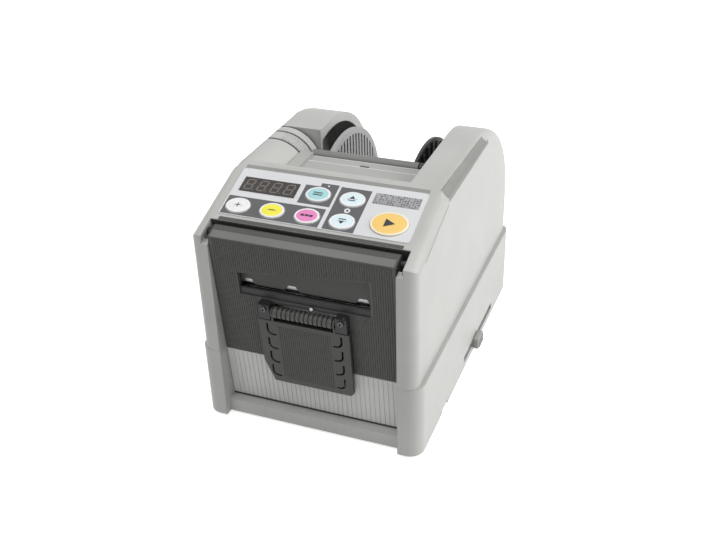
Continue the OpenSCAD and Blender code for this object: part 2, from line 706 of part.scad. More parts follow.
module panel_overlay() color("lavender") on_panel() difference() {
    linear_extrude(overlay_t) rounded_plan(overlay_w, overlay_u, overlay_u + overlay_l, 2);
    key_holes(key_gap, -1, 2);
    window_hole(0, -1, 2);
}
module display_window() color("black") on_panel() window_hole(0, -wall, overlay_t + window_up);
module display_module() color("dimgray") on_panel()
    window_hole(-1, board_t - board_depth, -wall);
module control_board() color("darkgreen") on_panel() difference() {
    box(-overlay_w / 2, overlay_w / 2, overlay_u + 0.5, overlay_u + overlay_l - 2, -board_depth,
        board_t - board_depth);
    for (k = key_places) translate([k[1], k[2], -board_depth - 1]) cylinder(r = stem_r + 0.5,
        h = board_t + 2);
}
module key_switches() color("dimgray") on_panel() for (k = key_places)
    translate([k[1], k[2], board_t - board_depth]) difference() {
        translate([-switch_w / 2, -switch_w / 2, 0]) cube([switch_w, switch_w, switch_h]);
        translate([0, 0, -1]) cylinder(r = stem_r + stem_gap, h = switch_h + 2);
    }

module button(name, tint) color(tint) on_panel() for (k = key_places) if (k[0] == name)
    translate([k[1], k[2], 0]) {
        z1 = board_t - board_depth + switch_h + key_travel + 0.2;
        translate([0, 0, z1]) linear_extrude(overlay_t + key_rise - z1)
            polygon(name == "button_start" ? ellipse(start_a, start_b) : ellipse(key_a, key_b));
        translate([0, 0, board_t - board_depth + key_travel + 0.2])
            cylinder(r = stem_r, h = z1 - board_t + board_depth - key_travel);
    }
module button_plus() button("button_plus", "white");
module button_minus() button("button_minus", "gold");
module button_select() button("button_select", "hotpink");
module button_mode() button("button_mode", "deepskyblue");
module button_reverse() button("button_reverse", "white");
module button_forward() button("button_forward", "white");
module button_start() button("button_start", "orangered");

module driver_board() color("darkgreen") from_front() {
    box(well_right + wall + 2, upper_x - wall - 2, driver_y[0], driver_y[1], driver_z, driver_z + board_t);
    for (y = driver_y + [6, -6]) translate([rear_x, y, wall]) cylinder(r = boss_r - 1, h = driver_z - wall);
    box(rear_x - 6, rear_x + 6, driver_y[0] + 16, driver_y[0] + 32, driver_z + board_t, driver_z + 10);
}
module rubber_feet() color("black") from_front() for (x = [-1, 1], y = [foot_inset, body_d - foot_inset])
    translate([x * (body_w / 2 - foot_inset), y, -foot_h]) cylinder(r = foot_r, h = foot_h + foot_seat);
module case_screws() color("gray") from_front() for (p = case_screw_at) translate([p[0], p[1],
    case_screw_z]) {
    translate([0, 0, -2.5]) cylinder(r = 2 * screw_r, h = 2.5);
    cylinder(r = screw_r, h = base_h - case_screw_z + 10);
}

module chassis() color("lightsteelblue") from_front() difference() {
    union() {
        box(-plate_x - sheet, plate_x + sheet, chassis_y, chassis_back, floor_z, base_h);
        both_sides() box(plate_x, plate_x + sheet, chassis_y, chassis_back, floor_z, chassis_z);
    }
    for (p = chassis_screw_at) translate([p[0], p[1], floor_z - 1]) cylinder(r = screw_r, h = sheet + 2);
    for (p = [[feed_y, feed_z], [feed_y, press_z], [cutter_y, cutter_z]])
        at_yz(p[0], p[1]) rod(shaft_r + bush_t, -body_w, body_w);
    at_yz(feed_motor_y, feed_motor_z) rod(3 * motor_shaft_r, 0, body_w);
    at_yz(cutter_motor_y, cutter_motor_z) rod(2.5 * motor_shaft_r, -body_w, 0);
}
module chassis_screws() color("gray") from_front() for (p = chassis_screw_at) translate([p[0], p[1],
    base_h]) {
    cylinder(r = 2 * screw_r, h = 1.8);
    translate([0, 0, -12]) cylinder(r = screw_r, h = 12);
}
module shaft_bushes() color("peru") from_front()
    for (p = [[feed_y, feed_z], [feed_y, press_z], [cutter_y, cutter_z]], s = [0, 1]) at_yz(p[0], p[1])
        mirror([s, 0, 0]) difference() {
            union() {
                rod(shaft_r + bush_t, plate_x, plate_x + sheet);
                rod(shaft_r + bush_t + bush_flange, plate_x - bush_flange, plate_x);
            }
            rod(shaft_r + run_gap, plate_x - 2, plate_x + sheet + 1);
        }

module feed_motor() color("dimgray") from_front() at_yz(feed_motor_y, feed_motor_z) difference() {
    union() {
        translate([plate_x - feed_motor_l, -feed_motor_w / 2, -feed_motor_w / 2])
            cube([feed_motor_l, feed_motor_w, feed_motor_w]);
        rod(3 * motor_shaft_r, plate_x - 1, plate_x + sheet);
    }
    rod(motor_shaft_r + run_gap, plate_x - 5 * motor_shaft_r, plate_x + sheet + 1);
}
module cutter_motor() color("silver") from_front() at_yz(cutter_motor_y, cutter_motor_z) difference() {
    union() {
        rod(cutter_motor_r, -plate_x, -plate_x + cutter_motor_l);
        rod(2.5 * motor_shaft_r, -plate_x - sheet, -plate_x + 1);
        rod(2.5 * motor_shaft_r, -plate_x + cutter_motor_l - 1, -plate_x + cutter_motor_l + 3);
    }
    rod(motor_shaft_r + run_gap, -plate_x - sheet - 1, -plate_x + 5 * motor_shaft_r);
}
module feed_shaft() color("silver") from_front() at_yz(feed_y, feed_z)
    rod(shaft_r, -gear_x - gear_t - shaft_end, gear_x + gear_t + shaft_end);
module feed_rubber() color("dimgray") from_front() at_yz(feed_y, feed_z) difference() {
    rod(roller_r, -rubber_l / 2, rubber_l / 2);
    rod(shaft_r, -rubber_l, rubber_l);
    for (x = [rubber_pitch / 2:rubber_pitch:rubber_l / 2 - rubber_groove]) both_sides() translate([x, 0, 0])
        difference() {
            rod(roller_r + 1, -rubber_groove / 2, rubber_groove / 2);
            rod(roller_r - rubber_cut, -rubber_groove, rubber_groove);
        }
}
module press_roller() color("dimgray") from_front() at_yz(feed_y, press_z) {
    rod(roller_r, -rubber_l / 2, rubber_l / 2);
    rod(shaft_r, -gear_x - gear_t - shaft_end, plate_x + sheet);
}
module feed_gear() color("ivory") from_front() at_yz(feed_y, feed_z)
    gear(feed_m, feed_teeth, -feed_motor_angle, gear_x, shaft_r);
module feed_pinion() color("goldenrod") from_front() at_yz(feed_motor_y, feed_motor_z) {
    gear(feed_m, feed_pinion_teeth, 180 - feed_motor_angle + 180 / feed_pinion_teeth, gear_x, motor_shaft_r);
    rod(motor_shaft_r, plate_x - 4 * motor_shaft_r, gear_x + gear_t + shaft_end);
}
module feed_sync_gear() color("ivory") from_front() at_yz(feed_y, feed_z)
    gear(sync_m, sync_teeth, 90, -gear_x - gear_t, shaft_r);
module press_sync_gear() color("ivory") from_front() at_yz(feed_y, press_z)
    gear(sync_m, sync_teeth, -90 + 180 / sync_teeth, -gear_x - gear_t, shaft_r);

module blade_guard() color("black") from_front() difference() {
    box(-slot_x - 2, slot_x + 2, guard_y, fixed_y, tape_z + guard_up, beam_z + beam_h);
    for (x = guard_notch_at) translate([x, fixed_y + 1, tape_z + guard_up]) rotate([90, 0, 0])
        linear_extrude(fixed_y) polygon([
            [-guard_notch_w / 2, -eps], [guard_notch_w / 2, -eps], [guard_notch_w / 4, guard_notch_h],
            [-guard_notch_w / 4, guard_notch_h]]);
}
module fixed_blade() color("silver") from_front()
    box(-blade_x, blade_x, fixed_y, fixed_y + blade_t, tape_z + blade_up, beam_z + beam_h - 1);
module blade_beam() color("slategray") from_front()
    box(-plate_x, plate_x, fixed_y + blade_t, post_y + 5, beam_z, beam_z + beam_h);
module guide_posts() color("silver") from_front() both_sides()
    translate([post_x, post_y, base_h]) cylinder(r = post_r, h = beam_z - base_h);
module tape_guide() color("lightsteelblue") from_front() difference() {
    box(-plate_x, plate_x, carriage_y + 1, feed_y - roller_r - 1, tape_z - 3.5, tape_z - 2);
    both_sides() translate([post_x, post_y, tape_z - 5]) cylinder(r = post_r, h = 5);
}
module moving_blade() color("silver") from_front()
    box(-blade_x, blade_x, moving_y, carriage_y, carriage_z, tape_z - blade_down);
module blade_carriage() color("slategray") from_front() difference() {
    union() {
        box(-plate_x + 1, plate_x - 1, carriage_y, rack_y, carriage_z, carriage_z + carriage_h);
        both_sides() box(plate_x - 1 - gear_t - 1, plate_x - 1, rack_y - 5, rack_y, rack_low,
            carriage_z + carriage_h);
        both_sides() intersection() {
            box(plate_x - 2 - gear_t, plate_x - 1, 0, 50, rack_low, carriage_z + carriage_h);
            for (i = [-4:3]) at_yz(rack_pitch_y, cutter_z + (i + 0.5) * PI * lift_m)
                translate([plate_x - 2 - gear_t, 0, 0]) rotate([90, 0, 90]) linear_extrude(gear_t + 1)
                    polygon(rack_tooth);
        }
    }
    both_sides() translate([post_x, post_y, 0]) cylinder(r = post_r + run_gap, h = body_h);
}
module cutter_shaft() color("silver") from_front() at_yz(cutter_y, cutter_z) {
    rod(shaft_r, -cutter_gear_x - gear_t - shaft_end, plate_x + sheet);
    for (x = [-plate_x + 1.5, plate_x - 1.5 - gear_t]) gear(lift_m, lift_teeth, 180, x, shaft_r - eps);
}
module cutter_gear() color("ivory") from_front() at_yz(cutter_y, cutter_z)
    gear(cutter_m, cutter_teeth, -cutter_motor_angle, -cutter_gear_x - gear_t, shaft_r);
module cutter_pinion() color("goldenrod") from_front() at_yz(cutter_motor_y, cutter_motor_z) {
    gear(cutter_m, cutter_pinion_teeth, 180 - cutter_motor_angle + 180 / cutter_pinion_teeth,
        -cutter_gear_x - gear_t, motor_shaft_r);
    rod(motor_shaft_r, -cutter_gear_x - gear_t - shaft_end, -plate_x + 4 * motor_shaft_r);
}

module front_cover() color("dimgray") difference() {
    from_front() union() {
        along_x(2 * cover_x) polygon([
            [front_gap, crease_z + front_gap * tan(panel_angle)],
            [hinge_u * cos(panel_angle), crease_z + hinge_u * sin(panel_angle)], [hinge_y, hinge_z],
            [cover_face(hinge_z) + cover_t, hinge_z], [cover_face(cover_z + cover_gap) + cover_t,
                cover_z + cover_gap],
            [cover_face(cover_z + cover_gap), cover_z + cover_gap]]);
        at_yz(hinge_y, hinge_z) rod(barrel_r, -cover_x, cover_x);
    }
    from_front() at_yz(hinge_y, hinge_z) rod(hinge_pin_r + run_gap, -body_w, body_w);
    from_front() translate([0, 30, 0]) rotate([90, 0, 0]) linear_extrude(40) polygon([
        [-slot_x, slot_z + lip_h], [slot_x, slot_z + lip_h], [slot_x, slot_right_z], [-slot_x, slot_left_z]]);
    from_front() box(-slot_x, slot_x, -1, cover_face(slot_z) + lip_in, slot_z, slot_z + lip_h + 1);
    on_cover() box(-bracket_x + 0.2, bracket_x - 0.2, -1, cover_t + 1, exit_v - exit_r - 0.6,
        exit_v + exit_r + 0.6);
    on_cover() both_sides() screw_place() cylinder(r = bracket_screw_r, h = 10);
}
module screw_place() translate([bracket_x + bracket_w / 2, -1, exit_v + bracket_up - 2.7]) rotate([-90, 0,
    0]) children();
module cover_hinge_pin() color("black") from_front() at_yz(hinge_y, hinge_z)
    rod(hinge_pin_r, -front_x - hinge_notch - hinge_grip, front_x + hinge_notch + hinge_grip);
module tray_bracket() color("dimgray") on_cover() difference() {
    both_sides() box(bracket_x, bracket_x + bracket_w, -bracket_t, 0, exit_v - 4.5, exit_v + bracket_up);
    translate([0, -exit_out, exit_v]) rod(tray_pin_r, -body_w, body_w);
    both_sides() translate([0, -bracket_t, 0]) screw_place() cylinder(r = bracket_screw_r, h = 2 * bracket_t);
}
module tray_pin() color("silver") on_cover() translate([0, -exit_out, exit_v])
    rod(tray_pin_r, -bracket_x - bracket_w + 1, bracket_x + bracket_w - 1);
module tray_screws() color("gray") on_cover() both_sides() screw_place() {
    translate([0, 0, 1 - bracket_t - 1.3]) cylinder(r = 2 * bracket_screw_r, h = 1.3);
    translate([0, 0, 1 - bracket_t]) cylinder(r = bracket_screw_r, h = bracket_t + cover_t);
}
module exit_roller() color("black") on_cover() translate([0, -exit_out, exit_v]) difference() {
    rod(exit_r, -exit_l / 2, exit_l / 2);
    rod(tray_pin_r + run_gap, -exit_l, exit_l);
    for (i = [1:exit_rings - 1]) translate([-exit_l / 2 + i * exit_l / exit_rings, 0, 0]) difference() {
        rod(exit_r + 1, -ring_gap / 2, ring_gap / 2);
        rod(exit_r - ring_gap, -ring_gap, ring_gap);
    }
}
module tape_tray() color("black") on_cover() difference() {
    union() {
        translate([0, -exit_out + 0.3 - tray_t, exit_v]) rotate([90, 0, 0]) translate([0, 0, -tray_t])
            linear_extrude(tray_t) polygon([
                [-tray_w / 2, -5.5], [tray_w / 2, -5.5], [tray_w / 2, 2 - tray_l], [tray_w / 2 - 2, -tray_l],
                [-tray_w / 2 + tray_cut[0], -tray_l], [-tray_w / 2, tray_cut[1] - tray_l]]);
        both_sides() box(exit_l / 2 + 0.5, exit_l / 2 + 0.5 + tray_arm_t, -exit_out + 0.3 - tray_t,
            -exit_out + 0.3,
            exit_v - 7, exit_v);
        translate([0, -exit_out, exit_v]) both_sides() rod(3, exit_l / 2 + 0.5,
            exit_l / 2 + 0.5 + tray_arm_t);
    }
    translate([0, -exit_out, exit_v]) rod(tray_pin_r + run_gap, -body_w, body_w);
    for (s = [-1, 1], i = [0:tray_slits - 1]) tray_slit(s * (tray_w / 2 - 8.5),
        exit_v - 12 - tray_slit_pitch * i, s);
}
// One hooked slit of the tray: a short run that turns up in a quarter round and goes on upright
module tray_slit(x, v, s) translate([x, -exit_out - 2 * tray_t, v]) mirror([s > 0 ? 0 : 1, 0, 0])
    rotate([-90, 0, 0]) {
    translate([-tray_slit_r / 2, tray_slit_r - tray_slit_w / 2, 0])
        cube([tray_slit_r / 2, tray_slit_w, 3 * tray_t]);
    translate([tray_slit_r - tray_slit_w / 2, -1.2 * tray_slit_r, 0])
        cube([tray_slit_w, 1.2 * tray_slit_r, 3 * tray_t]);
    linear_extrude(3 * tray_t) intersection() {
        difference() {
            circle(tray_slit_r + tray_slit_w / 2);
            circle(tray_slit_r - tray_slit_w / 2);
        }
        square(2 * tray_slit_r);
    }
}

module reel_bearings() color("gainsboro") from_front() difference() {
    each_arm() stand();
    at_yz(reel_y, reel_z) rod(spindle_r + run_gap, -body_w, body_w);
    at_yz(reel_y, reel_z) rotate([lift_angle, 0, 0])
        box(-body_w, body_w, 0, 3 * stand_w, -spindle_r - run_gap, spindle_r + run_gap);
}
module stand() translate([-stand_t, 0, 0]) rotate([90, 0, 90]) linear_extrude(stand_t) polygon([
    [reel_y - stand_w, wall], [reel_y + stand_w, wall], [reel_y + 0.7 * stand_w, reel_z + 8],
    [reel_y - 0.7 * stand_w, reel_z + 8]]);
module reel_spindle() color("silver") from_front() at_yz(reel_y, reel_z)
    rod(spindle_r, 0.3 - well_left, well_right - 0.3);
module reel_core() color("whitesmoke") from_front() at_yz(reel_y, reel_z) difference() {
    union() {
        difference() {
            rod(core_r, -reel_w / 2, reel_w / 2);
            rod(core_r - core_wall, -reel_w, reel_w);
        }
        rod(core_r - core_wall / 2, -2, 2);
        rod(spindle_r + 4, -reel_w / 2, reel_w / 2);
    }
    rod(spindle_r + run_gap, -reel_w, reel_w);
}
module reel_disc_left() color("darkgray") from_front() at_yz(reel_y, reel_z) difference() {
    rod(disc_r, -reel_w / 2 - disc_t, -reel_w / 2);
    rod(spindle_r + run_gap, -reel_w, reel_w);
    intersection() {
        difference() {
            rod(disc_r - 4, -reel_w, reel_w);
            rod(core_r + 3, -body_w, body_w);
        }
        for (y = [-disc_r:disc_pitch:disc_r]) box(-reel_w, 0, y, y + disc_slot, -disc_r, disc_r);
    }
}
module reel_disc_right() color("black") from_front() at_yz(reel_y, reel_z) difference() {
    union() {
        rod(disc_r, reel_w / 2 + 0.8, reel_w / 2 + disc_t);
        rod(core_r + 1, reel_w / 2, reel_w / 2 + 1);
        for (i = [0:disc_ribs - 1]) rotate([360 / disc_ribs * i, 0, 0])
            box(reel_w / 2, reel_w / 2 + 1, core_r, disc_r - 2, -0.6, 0.6);
    }
    rod(spindle_r + run_gap, -reel_w, reel_w);
}
module guide_roller_axle() color("silver") from_front() at_yz(guide_y, guide_z) {
    rod(guide_axle_r, -well_left - 6, well_right + wall);
    rod(guide_r, well_left - 0.5, well_right);
}
module guide_roller() color("dimgray") from_front() at_yz(guide_y, guide_z) difference() {
    rod(guide_r, -well_left + 1, well_left - 1);
    rod(guide_axle_r + run_gap, -body_w, body_w);
}

module side_slider() color("lightgray") from_front() translate([body_w / 2, slider_y, 0]) {
    mid_z = (slide_z[0] + slide_z[1]) / 2;
    box(slide_gap, slider_knob[2], -slider_knob[0] / 2, slider_knob[0] / 2, mid_z - slider_knob[1] / 2,
        mid_z + slider_knob[1] / 2);
    box(-wall - slide_gap - eps, slide_gap + eps, -slider_knob[0] / 2, slider_knob[0] / 2,
        slide_z[0] + slide_gap,
        slide_z[1] - slide_gap);
    box(-wall - slide_gap - 3, -wall - slide_gap, -slider_knob[0], slider_knob[0], wall + slide_gap,
        slide_z[1] + 3);
}
module power_jack() color("black") from_front() translate([-rear_x, 0, rear_z]) difference() {
    union() {
        translate([0, body_d + 1.2, 0]) rotate([90, 0, 0]) cylinder(r = jack_r + 1.5, h = 1.2);
        translate([0, body_d, 0]) rotate([90, 0, 0]) cylinder(r = jack_r, h = 12);
    }
    translate([0, body_d + 2, 0]) rotate([90, 0, 0]) difference() {
        cylinder(r = jack_bore, h = 10);
        cylinder(r = jack_pin, h = 11);
    }
}
module switch_housing() color("black") from_front() translate([rear_x, body_d, rear_z]) difference() {
    union() {
        box(-rocker_box[0] / 2, rocker_box[0] / 2, -rocker_depth, eps, -rocker_box[1] / 2, rocker_box[1] / 2);
        box(-rocker_box[0] / 2 - 1, rocker_box[0] / 2 + 1, 0, 1.2, -rocker_box[1] / 2 - 1,
            rocker_box[1] / 2 + 1);
    }
    box(-rocker_box[0] / 2 + 1.5, rocker_box[0] / 2 - 1.5, -rocker_well, 2, -rocker_box[1] / 2 + 0.8,
        rocker_box[1] / 2 - 0.8);
    at_yz(-3, 0) rod(1 + run_gap, -rocker_box[0] / 2 + 0.4, rocker_box[0] / 2 - 0.4);
}
module power_rocker() color("black") from_front() translate([rear_x, body_d - 3, rear_z]) {
    rotate([-rocker_tilt, 0, 0]) along_x(rocker_box[0] - 3.6) polygon([[-2, -7.2], [4.6, -7.2], [3.4, 0],
        [4.6, 7.2], [-2, 7.2]]);
    rod(1, -rocker_box[0] / 2 + 0.6, rocker_box[0] / 2 - 0.6);
}

lower_case();
upper_case();
lower_front_panel();
top_plate();
panel_overlay();
display_window();
display_module();
control_board();
key_switches();
driver_board();
rubber_feet();
case_screws();
chassis();
chassis_screws();
shaft_bushes();
feed_motor();
cutter_motor();
fixed_blade();
blade_guard();
blade_beam();
guide_posts();
tape_guide();
cover_hinge_pin();
guide_roller_axle();
reel_bearings();
power_jack();
switch_housing();
front_cover();
tray_bracket();
tray_pin();
tray_screws();
exit_roller();
tape_tray();
side_slider();
button_plus();
button_minus();
button_select();
button_mode();
button_reverse();
button_forward();
button_start();
reel_spindle();
reel_core();
reel_disc_left();
reel_disc_right();
guide_roller();
feed_shaft();
feed_rubber();
feed_gear();
feed_sync_gear();
press_roller();
press_sync_gear();
feed_pinion();
blade_carriage();
moving_blade();
cutter_shaft();
cutter_gear();
cutter_pinion();
power_rocker();
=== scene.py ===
import math
import random

import bmesh
import bpy
from mathutils import Matrix, Vector


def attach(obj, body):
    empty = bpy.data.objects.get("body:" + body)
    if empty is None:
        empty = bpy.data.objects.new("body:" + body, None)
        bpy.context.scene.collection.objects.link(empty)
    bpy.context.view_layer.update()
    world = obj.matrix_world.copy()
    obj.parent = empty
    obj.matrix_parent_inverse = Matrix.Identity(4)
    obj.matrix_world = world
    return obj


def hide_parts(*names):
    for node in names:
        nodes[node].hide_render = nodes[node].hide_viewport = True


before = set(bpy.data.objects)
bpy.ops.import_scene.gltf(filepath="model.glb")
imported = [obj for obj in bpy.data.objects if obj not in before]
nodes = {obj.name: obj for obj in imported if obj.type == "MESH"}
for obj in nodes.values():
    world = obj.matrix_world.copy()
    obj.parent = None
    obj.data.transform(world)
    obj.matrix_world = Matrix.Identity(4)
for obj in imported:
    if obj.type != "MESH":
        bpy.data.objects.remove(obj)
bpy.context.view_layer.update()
scene = bpy.context.scene
print("frame loaded")

# Lengths below are in millimetres, in the part's own frame or in the frame of the face that carries a piece
mm = 0.001
foldHeight = 126.5  # where the panel and the front cover meet
panelTilt, coverTilt = math.radians(18.138), math.radians(5.3)
onPart = Matrix()
standUp = Matrix.Rotation(math.radians(90), 4, "X")  # for what is drawn flat and faces the front
onPanel = Matrix.Translation((0, -105, foldHeight)) @ Matrix.Rotation(panelTilt, 4, "X")
onCover = Matrix.Translation((0, -104.5, foldHeight)) @ Matrix.Rotation(coverTilt, 4, "X")


# A height in the part's frame, measured along the cover's face
def coverHeight(z):
    return (z - foldHeight) / math.cos(coverTilt)


exitHeight = coverHeight(83.5)  # axis of the exit roller


# Shader tools

# A colour written from 0 to 255, as the linear one that a shader takes
def linear(red, green, blue):
    def one(value):
        value = value / 255
        return value / 12.92 if value <= 0.04045 else ((value + 0.055) / 1.055) ** 2.4
    return one(red), one(green), one(blue), 1.0


def darker(colour, share):
    return tuple(value * (1 - share) for value in colour[:3]) + (1.0,)


def put(tree, kind, values=None, links=None, **settings):
    node = tree.nodes.new(kind)
    for key, value in settings.items():
        setattr(node, key, value)
    for key, value in (values or {}).items():
        node.inputs[key].default_value = value
    for key, source in (links or {}).items():
        tree.links.new(source, node.inputs[key])
    return node


def makeGroup(name, inputs, outputs):
    group = bpy.data.node_groups.new(name, "ShaderNodeTree")
    for label, value in inputs.items():
        group.interface.new_socket(label, in_out="INPUT", socket_type="NodeSocketFloat").default_value = value
    for label, kind in outputs.items():
        group.interface.new_socket(label, in_out="OUTPUT", socket_type=kind)
    return group, group.nodes.new("NodeGroupInput").outputs, group.nodes.new("NodeGroupOutput").inputs


def calculate(tree, operation, first, second):
    node = put(tree, "ShaderNodeMath", operation=operation)
    for slot, value in zip(node.inputs, (first, second)):
        if isinstance(value, (int, float)):
            slot.default_value = value
        else:
            tree.links.new(value, slot)
    return node.outputs[0]


def multiply(tree, first, second):
    return calculate(tree, "MULTIPLY", first, second)


def addShares(tree, first, second, shares):
    return calculate(tree, "ADD", multiply(tree, first, shares[0]), multiply(tree, second, shares[1]))


# Sockets 0, 6 and 7 of a mix node are its factor and its two colours
def mixColours(tree, factor, first, second):
    node = put(tree, "ShaderNodeMix", data_type="RGBA")
    for index, value in ((0, factor), (6, first), (7, second)):
        if isinstance(value, (tuple, float)):
            node.inputs[index].default_value = value
        else:
            tree.links.new(value, node.inputs[index])
    return node.outputs[2]


def stretch(tree, value, low, high, toLow=0.0, toHigh=1.0):
    return put(tree, "ShaderNodeMapRange", {"From Min": low, "From Max": high, "To Min": toLow, "To Max": toHigh},
               {"Value": value}).outputs["Result"]


def objectPlace(tree):
    return put(tree, "ShaderNodeTexCoord").outputs["Object"]


def noise(tree, place, values, links=None):
    return put(tree, "ShaderNodeTexNoise", values, {"Vector": place, **(links or {})}).outputs["Fac"]


# Fine moulded texture: a height, a slow drift of tone and a roughness that follows both
mouldGrain = {"scale": 1500.0, "fine": {"Detail": 3.0, "Roughness": 0.6}, "pits": 0.6,
              "drift": {"Scale": 26.0, "Detail": 3.0}, "tone": (0.35, 0.65), "roughShares": (0.6, 0.4)}


def makeGrain():
    group, given, made = makeGroup("mouldGrain", {"Scale": mouldGrain["scale"]},
                                   {"Height": "NodeSocketFloat", "Tone": "NodeSocketFloat",
                                    "Rough": "NodeSocketFloat"})
    place = objectPlace(group)
    fine = noise(group, place, mouldGrain["fine"], {"Scale": given["Scale"]})
    pits = put(group, "ShaderNodeTexVoronoi", {"Randomness": 1.0},
               {"Vector": place, "Scale": given["Scale"]}).outputs["Distance"]
    drift = noise(group, place, mouldGrain["drift"])
    group.links.new(calculate(group, "ADD", fine, multiply(group, pits, mouldGrain["pits"])), made["Height"])
    group.links.new(stretch(group, drift, *mouldGrain["tone"]), made["Tone"])
    group.links.new(addShares(group, fine, drift, mouldGrain["roughShares"]), made["Rough"])
    return group


# Rounded edges and where they are lighter: the bevelled normal, and a mask that grows where it leaves the true one;
# the finishes use the mask for edge wear and painted highlight
edgeRubAndHighlight = {"radius": 0.5, "samples": 4, "bend": (0.99, 0.85), "patches": {"Scale": 190.0, "Detail": 4.0},
           "patch": (0.42, 0.62)}


def makeEdges():
    group, given, made = makeGroup("edgeRubAndHighlight", {"Radius": edgeRubAndHighlight["radius"] * mm},
                                   {"Normal": "NodeSocketVector", "Mask": "NodeSocketFloat"})
    rounded = put(group, "ShaderNodeBevel", links={"Radius": given["Radius"]},
                  samples=edgeRubAndHighlight["samples"]).outputs["Normal"]
    straight = put(group, "ShaderNodeNewGeometry").outputs["Normal"]
    along = put(group, "ShaderNodeVectorMath", links={0: rounded, 1: straight}, operation="DOT_PRODUCT")
    patchy = noise(group, objectPlace(group), edgeRubAndHighlight["patches"])
    bentEdge = stretch(group, along.outputs["Value"], *edgeRubAndHighlight["bend"])
    group.links.new(rounded, made["Normal"])
    group.links.new(multiply(group, bentEdge, stretch(group, patchy, *edgeRubAndHighlight["patch"])), made["Mask"])
    return group


# A thin scatter of dust: small round specks, most of them on faces that look up
dustSpecks = {"scale": 240.0, "share": 0.12, "dot": (0.10, 0.22), "facing": (-0.2, 0.9), "least": 0.25}


def makeSpecks():
    group, given, made = makeGroup("dustSpecks", {"Scale": dustSpecks["scale"], "Share": dustSpecks["share"]},
                                   {"Mask": "NodeSocketFloat"})
    cells = put(group, "ShaderNodeTexVoronoi", {"Randomness": 1.0},
                {"Vector": objectPlace(group), "Scale": given["Scale"]})
    chance = put(group, "ShaderNodeSeparateColor", links={"Color": cells.outputs["Color"]}).outputs["Red"]
    kept = calculate(group, "LESS_THAN", chance, given["Share"])
    dot = stretch(group, cells.outputs["Distance"], *dustSpecks["dot"], 1.0, 0.0)
    facing = put(group, "ShaderNodeSeparateXYZ",
                 links={"Vector": put(group, "ShaderNodeNewGeometry").outputs["Normal"]}).outputs["Z"]
    lying = stretch(group, facing, *dustSpecks["facing"], dustSpecks["least"], 1.0)
    group.links.new(multiply(group, multiply(group, kept, dot), lying), made["Mask"])
    return group


# Drawn or turned metal: fine lines along one axis
brushedLines = {"across": (40.0, 2600.0, 2600.0), "lines": {"Scale": 1.0, "Detail": 3.0, "Roughness": 0.65},
                "stain": {"Scale": 60.0, "Detail": 2.0}, "toneShares": (0.7, 0.3)}
acrossLabels = ("Across X", "Across Y", "Across Z")


def makeLines():
    group, given, made = makeGroup("brushedLines", dict(zip(acrossLabels, brushedLines["across"])),
                                   {"Height": "NodeSocketFloat", "Tone": "NodeSocketFloat"})
    place = objectPlace(group)
    spread = put(group, "ShaderNodeCombineXYZ",
                 links={axis: given[label] for axis, label in zip("XYZ", acrossLabels)}).outputs["Vector"]
    drawn = put(group, "ShaderNodeVectorMath", links={0: place, 1: spread}, operation="MULTIPLY").outputs["Vector"]
    lines = noise(group, drawn, brushedLines["lines"])
    stain = noise(group, place, brushedLines["stain"])
    group.links.new(lines, made["Height"])
    group.links.new(addShares(group, lines, stain, brushedLines["toneShares"]), made["Tone"])
    return group


grainGroup, edgeGroup, speckGroup, lineGroup = makeGrain(), makeEdges(), makeSpecks(), makeLines()


def newFinish(name):
    finish = bpy.data.materials.new(name)
    finish.use_nodes = True
    return finish, finish.node_tree, finish.node_tree.nodes["Principled BSDF"]


def addRelief(tree, shader, height, normal, look):
    bump = put(tree, "ShaderNodeBump", {"Strength": look["bump"], "Distance": look["relief"] * mm},
               {"Height": height, "Normal": normal})
    tree.links.new(bump.outputs["Normal"], shader.inputs["Normal"])


def addRoughness(tree, shader, value, look):
    rough = stretch(tree, value, *look["span"], look["rough"] - look["swing"], look["rough"] + look["swing"])
    tree.links.new(rough, shader.inputs["Roughness"])


# What a plastic has unless its own look says otherwise
usualPlastic = {"rough": 0.45, "swing": 0.07, "span": (0.3, 0.7), "drift": 0.08, "grain": 1500.0, "bump": 0.12,
                "relief": 0.3, "edge": 0.5, "edgeWearAndHighlight": 0.25, "wearAndHighlightColour": (228, 228, 226), "dust": 0.05, "speck": 0.18,
                "speckScale": 240.0, "dustColour": (150, 148, 142), "specular": 0.4, "coat": 0.0, "coatRough": 0.12}


def plasticFinish(name, own):
    look = {**usualPlastic, **own}
    finish, tree, shader = newFinish(name)
    base = linear(*look["colour"])
    grain = put(tree, "ShaderNodeGroup", {"Scale": look["grain"]}, node_tree=grainGroup).outputs
    edges = put(tree, "ShaderNodeGroup", {"Radius": look["edge"] * mm}, node_tree=edgeGroup).outputs
    specks = put(tree, "ShaderNodeGroup", {"Share": look["dust"], "Scale": look["speckScale"]},
                 node_tree=speckGroup).outputs
    shade = mixColours(tree, grain["Tone"], darker(base, look["drift"]), base)
    # Edges lighter by the edge mask: edge wear and painted highlight
    wearAndHighlightColour = mixColours(tree, multiply(tree, edges["Mask"], look["edgeWearAndHighlight"]), shade, linear(*look["wearAndHighlightColour"]))
    dusty = mixColours(tree, multiply(tree, specks["Mask"], look["speck"]), wearAndHighlightColour, linear(*look["dustColour"]))
    tree.links.new(dusty, shader.inputs["Base Color"])
    addRoughness(tree, shader, grain["Rough"], look)
    addRelief(tree, shader, grain["Height"], edges["Normal"], look)
    shader.inputs["Specular IOR Level"].default_value = look["specular"]
    shader.inputs["Coat Weight"].default_value = look["coat"]
    shader.inputs["Coat Roughness"].default_value = look["coatRough"]
    return finish


# What a metal has unless its own look says otherwise
usualMetal = {"rough": 0.3, "swing": 0.08, "span": (0.3, 0.7), "drift": 0.25, "tone": (0.35, 0.65), "bump": 0.08,
              "relief": 0.2, "edge": 0.3, "edgeWearAndHighlight": 0.4, "wearAndHighlightColour": (225, 225, 225)}


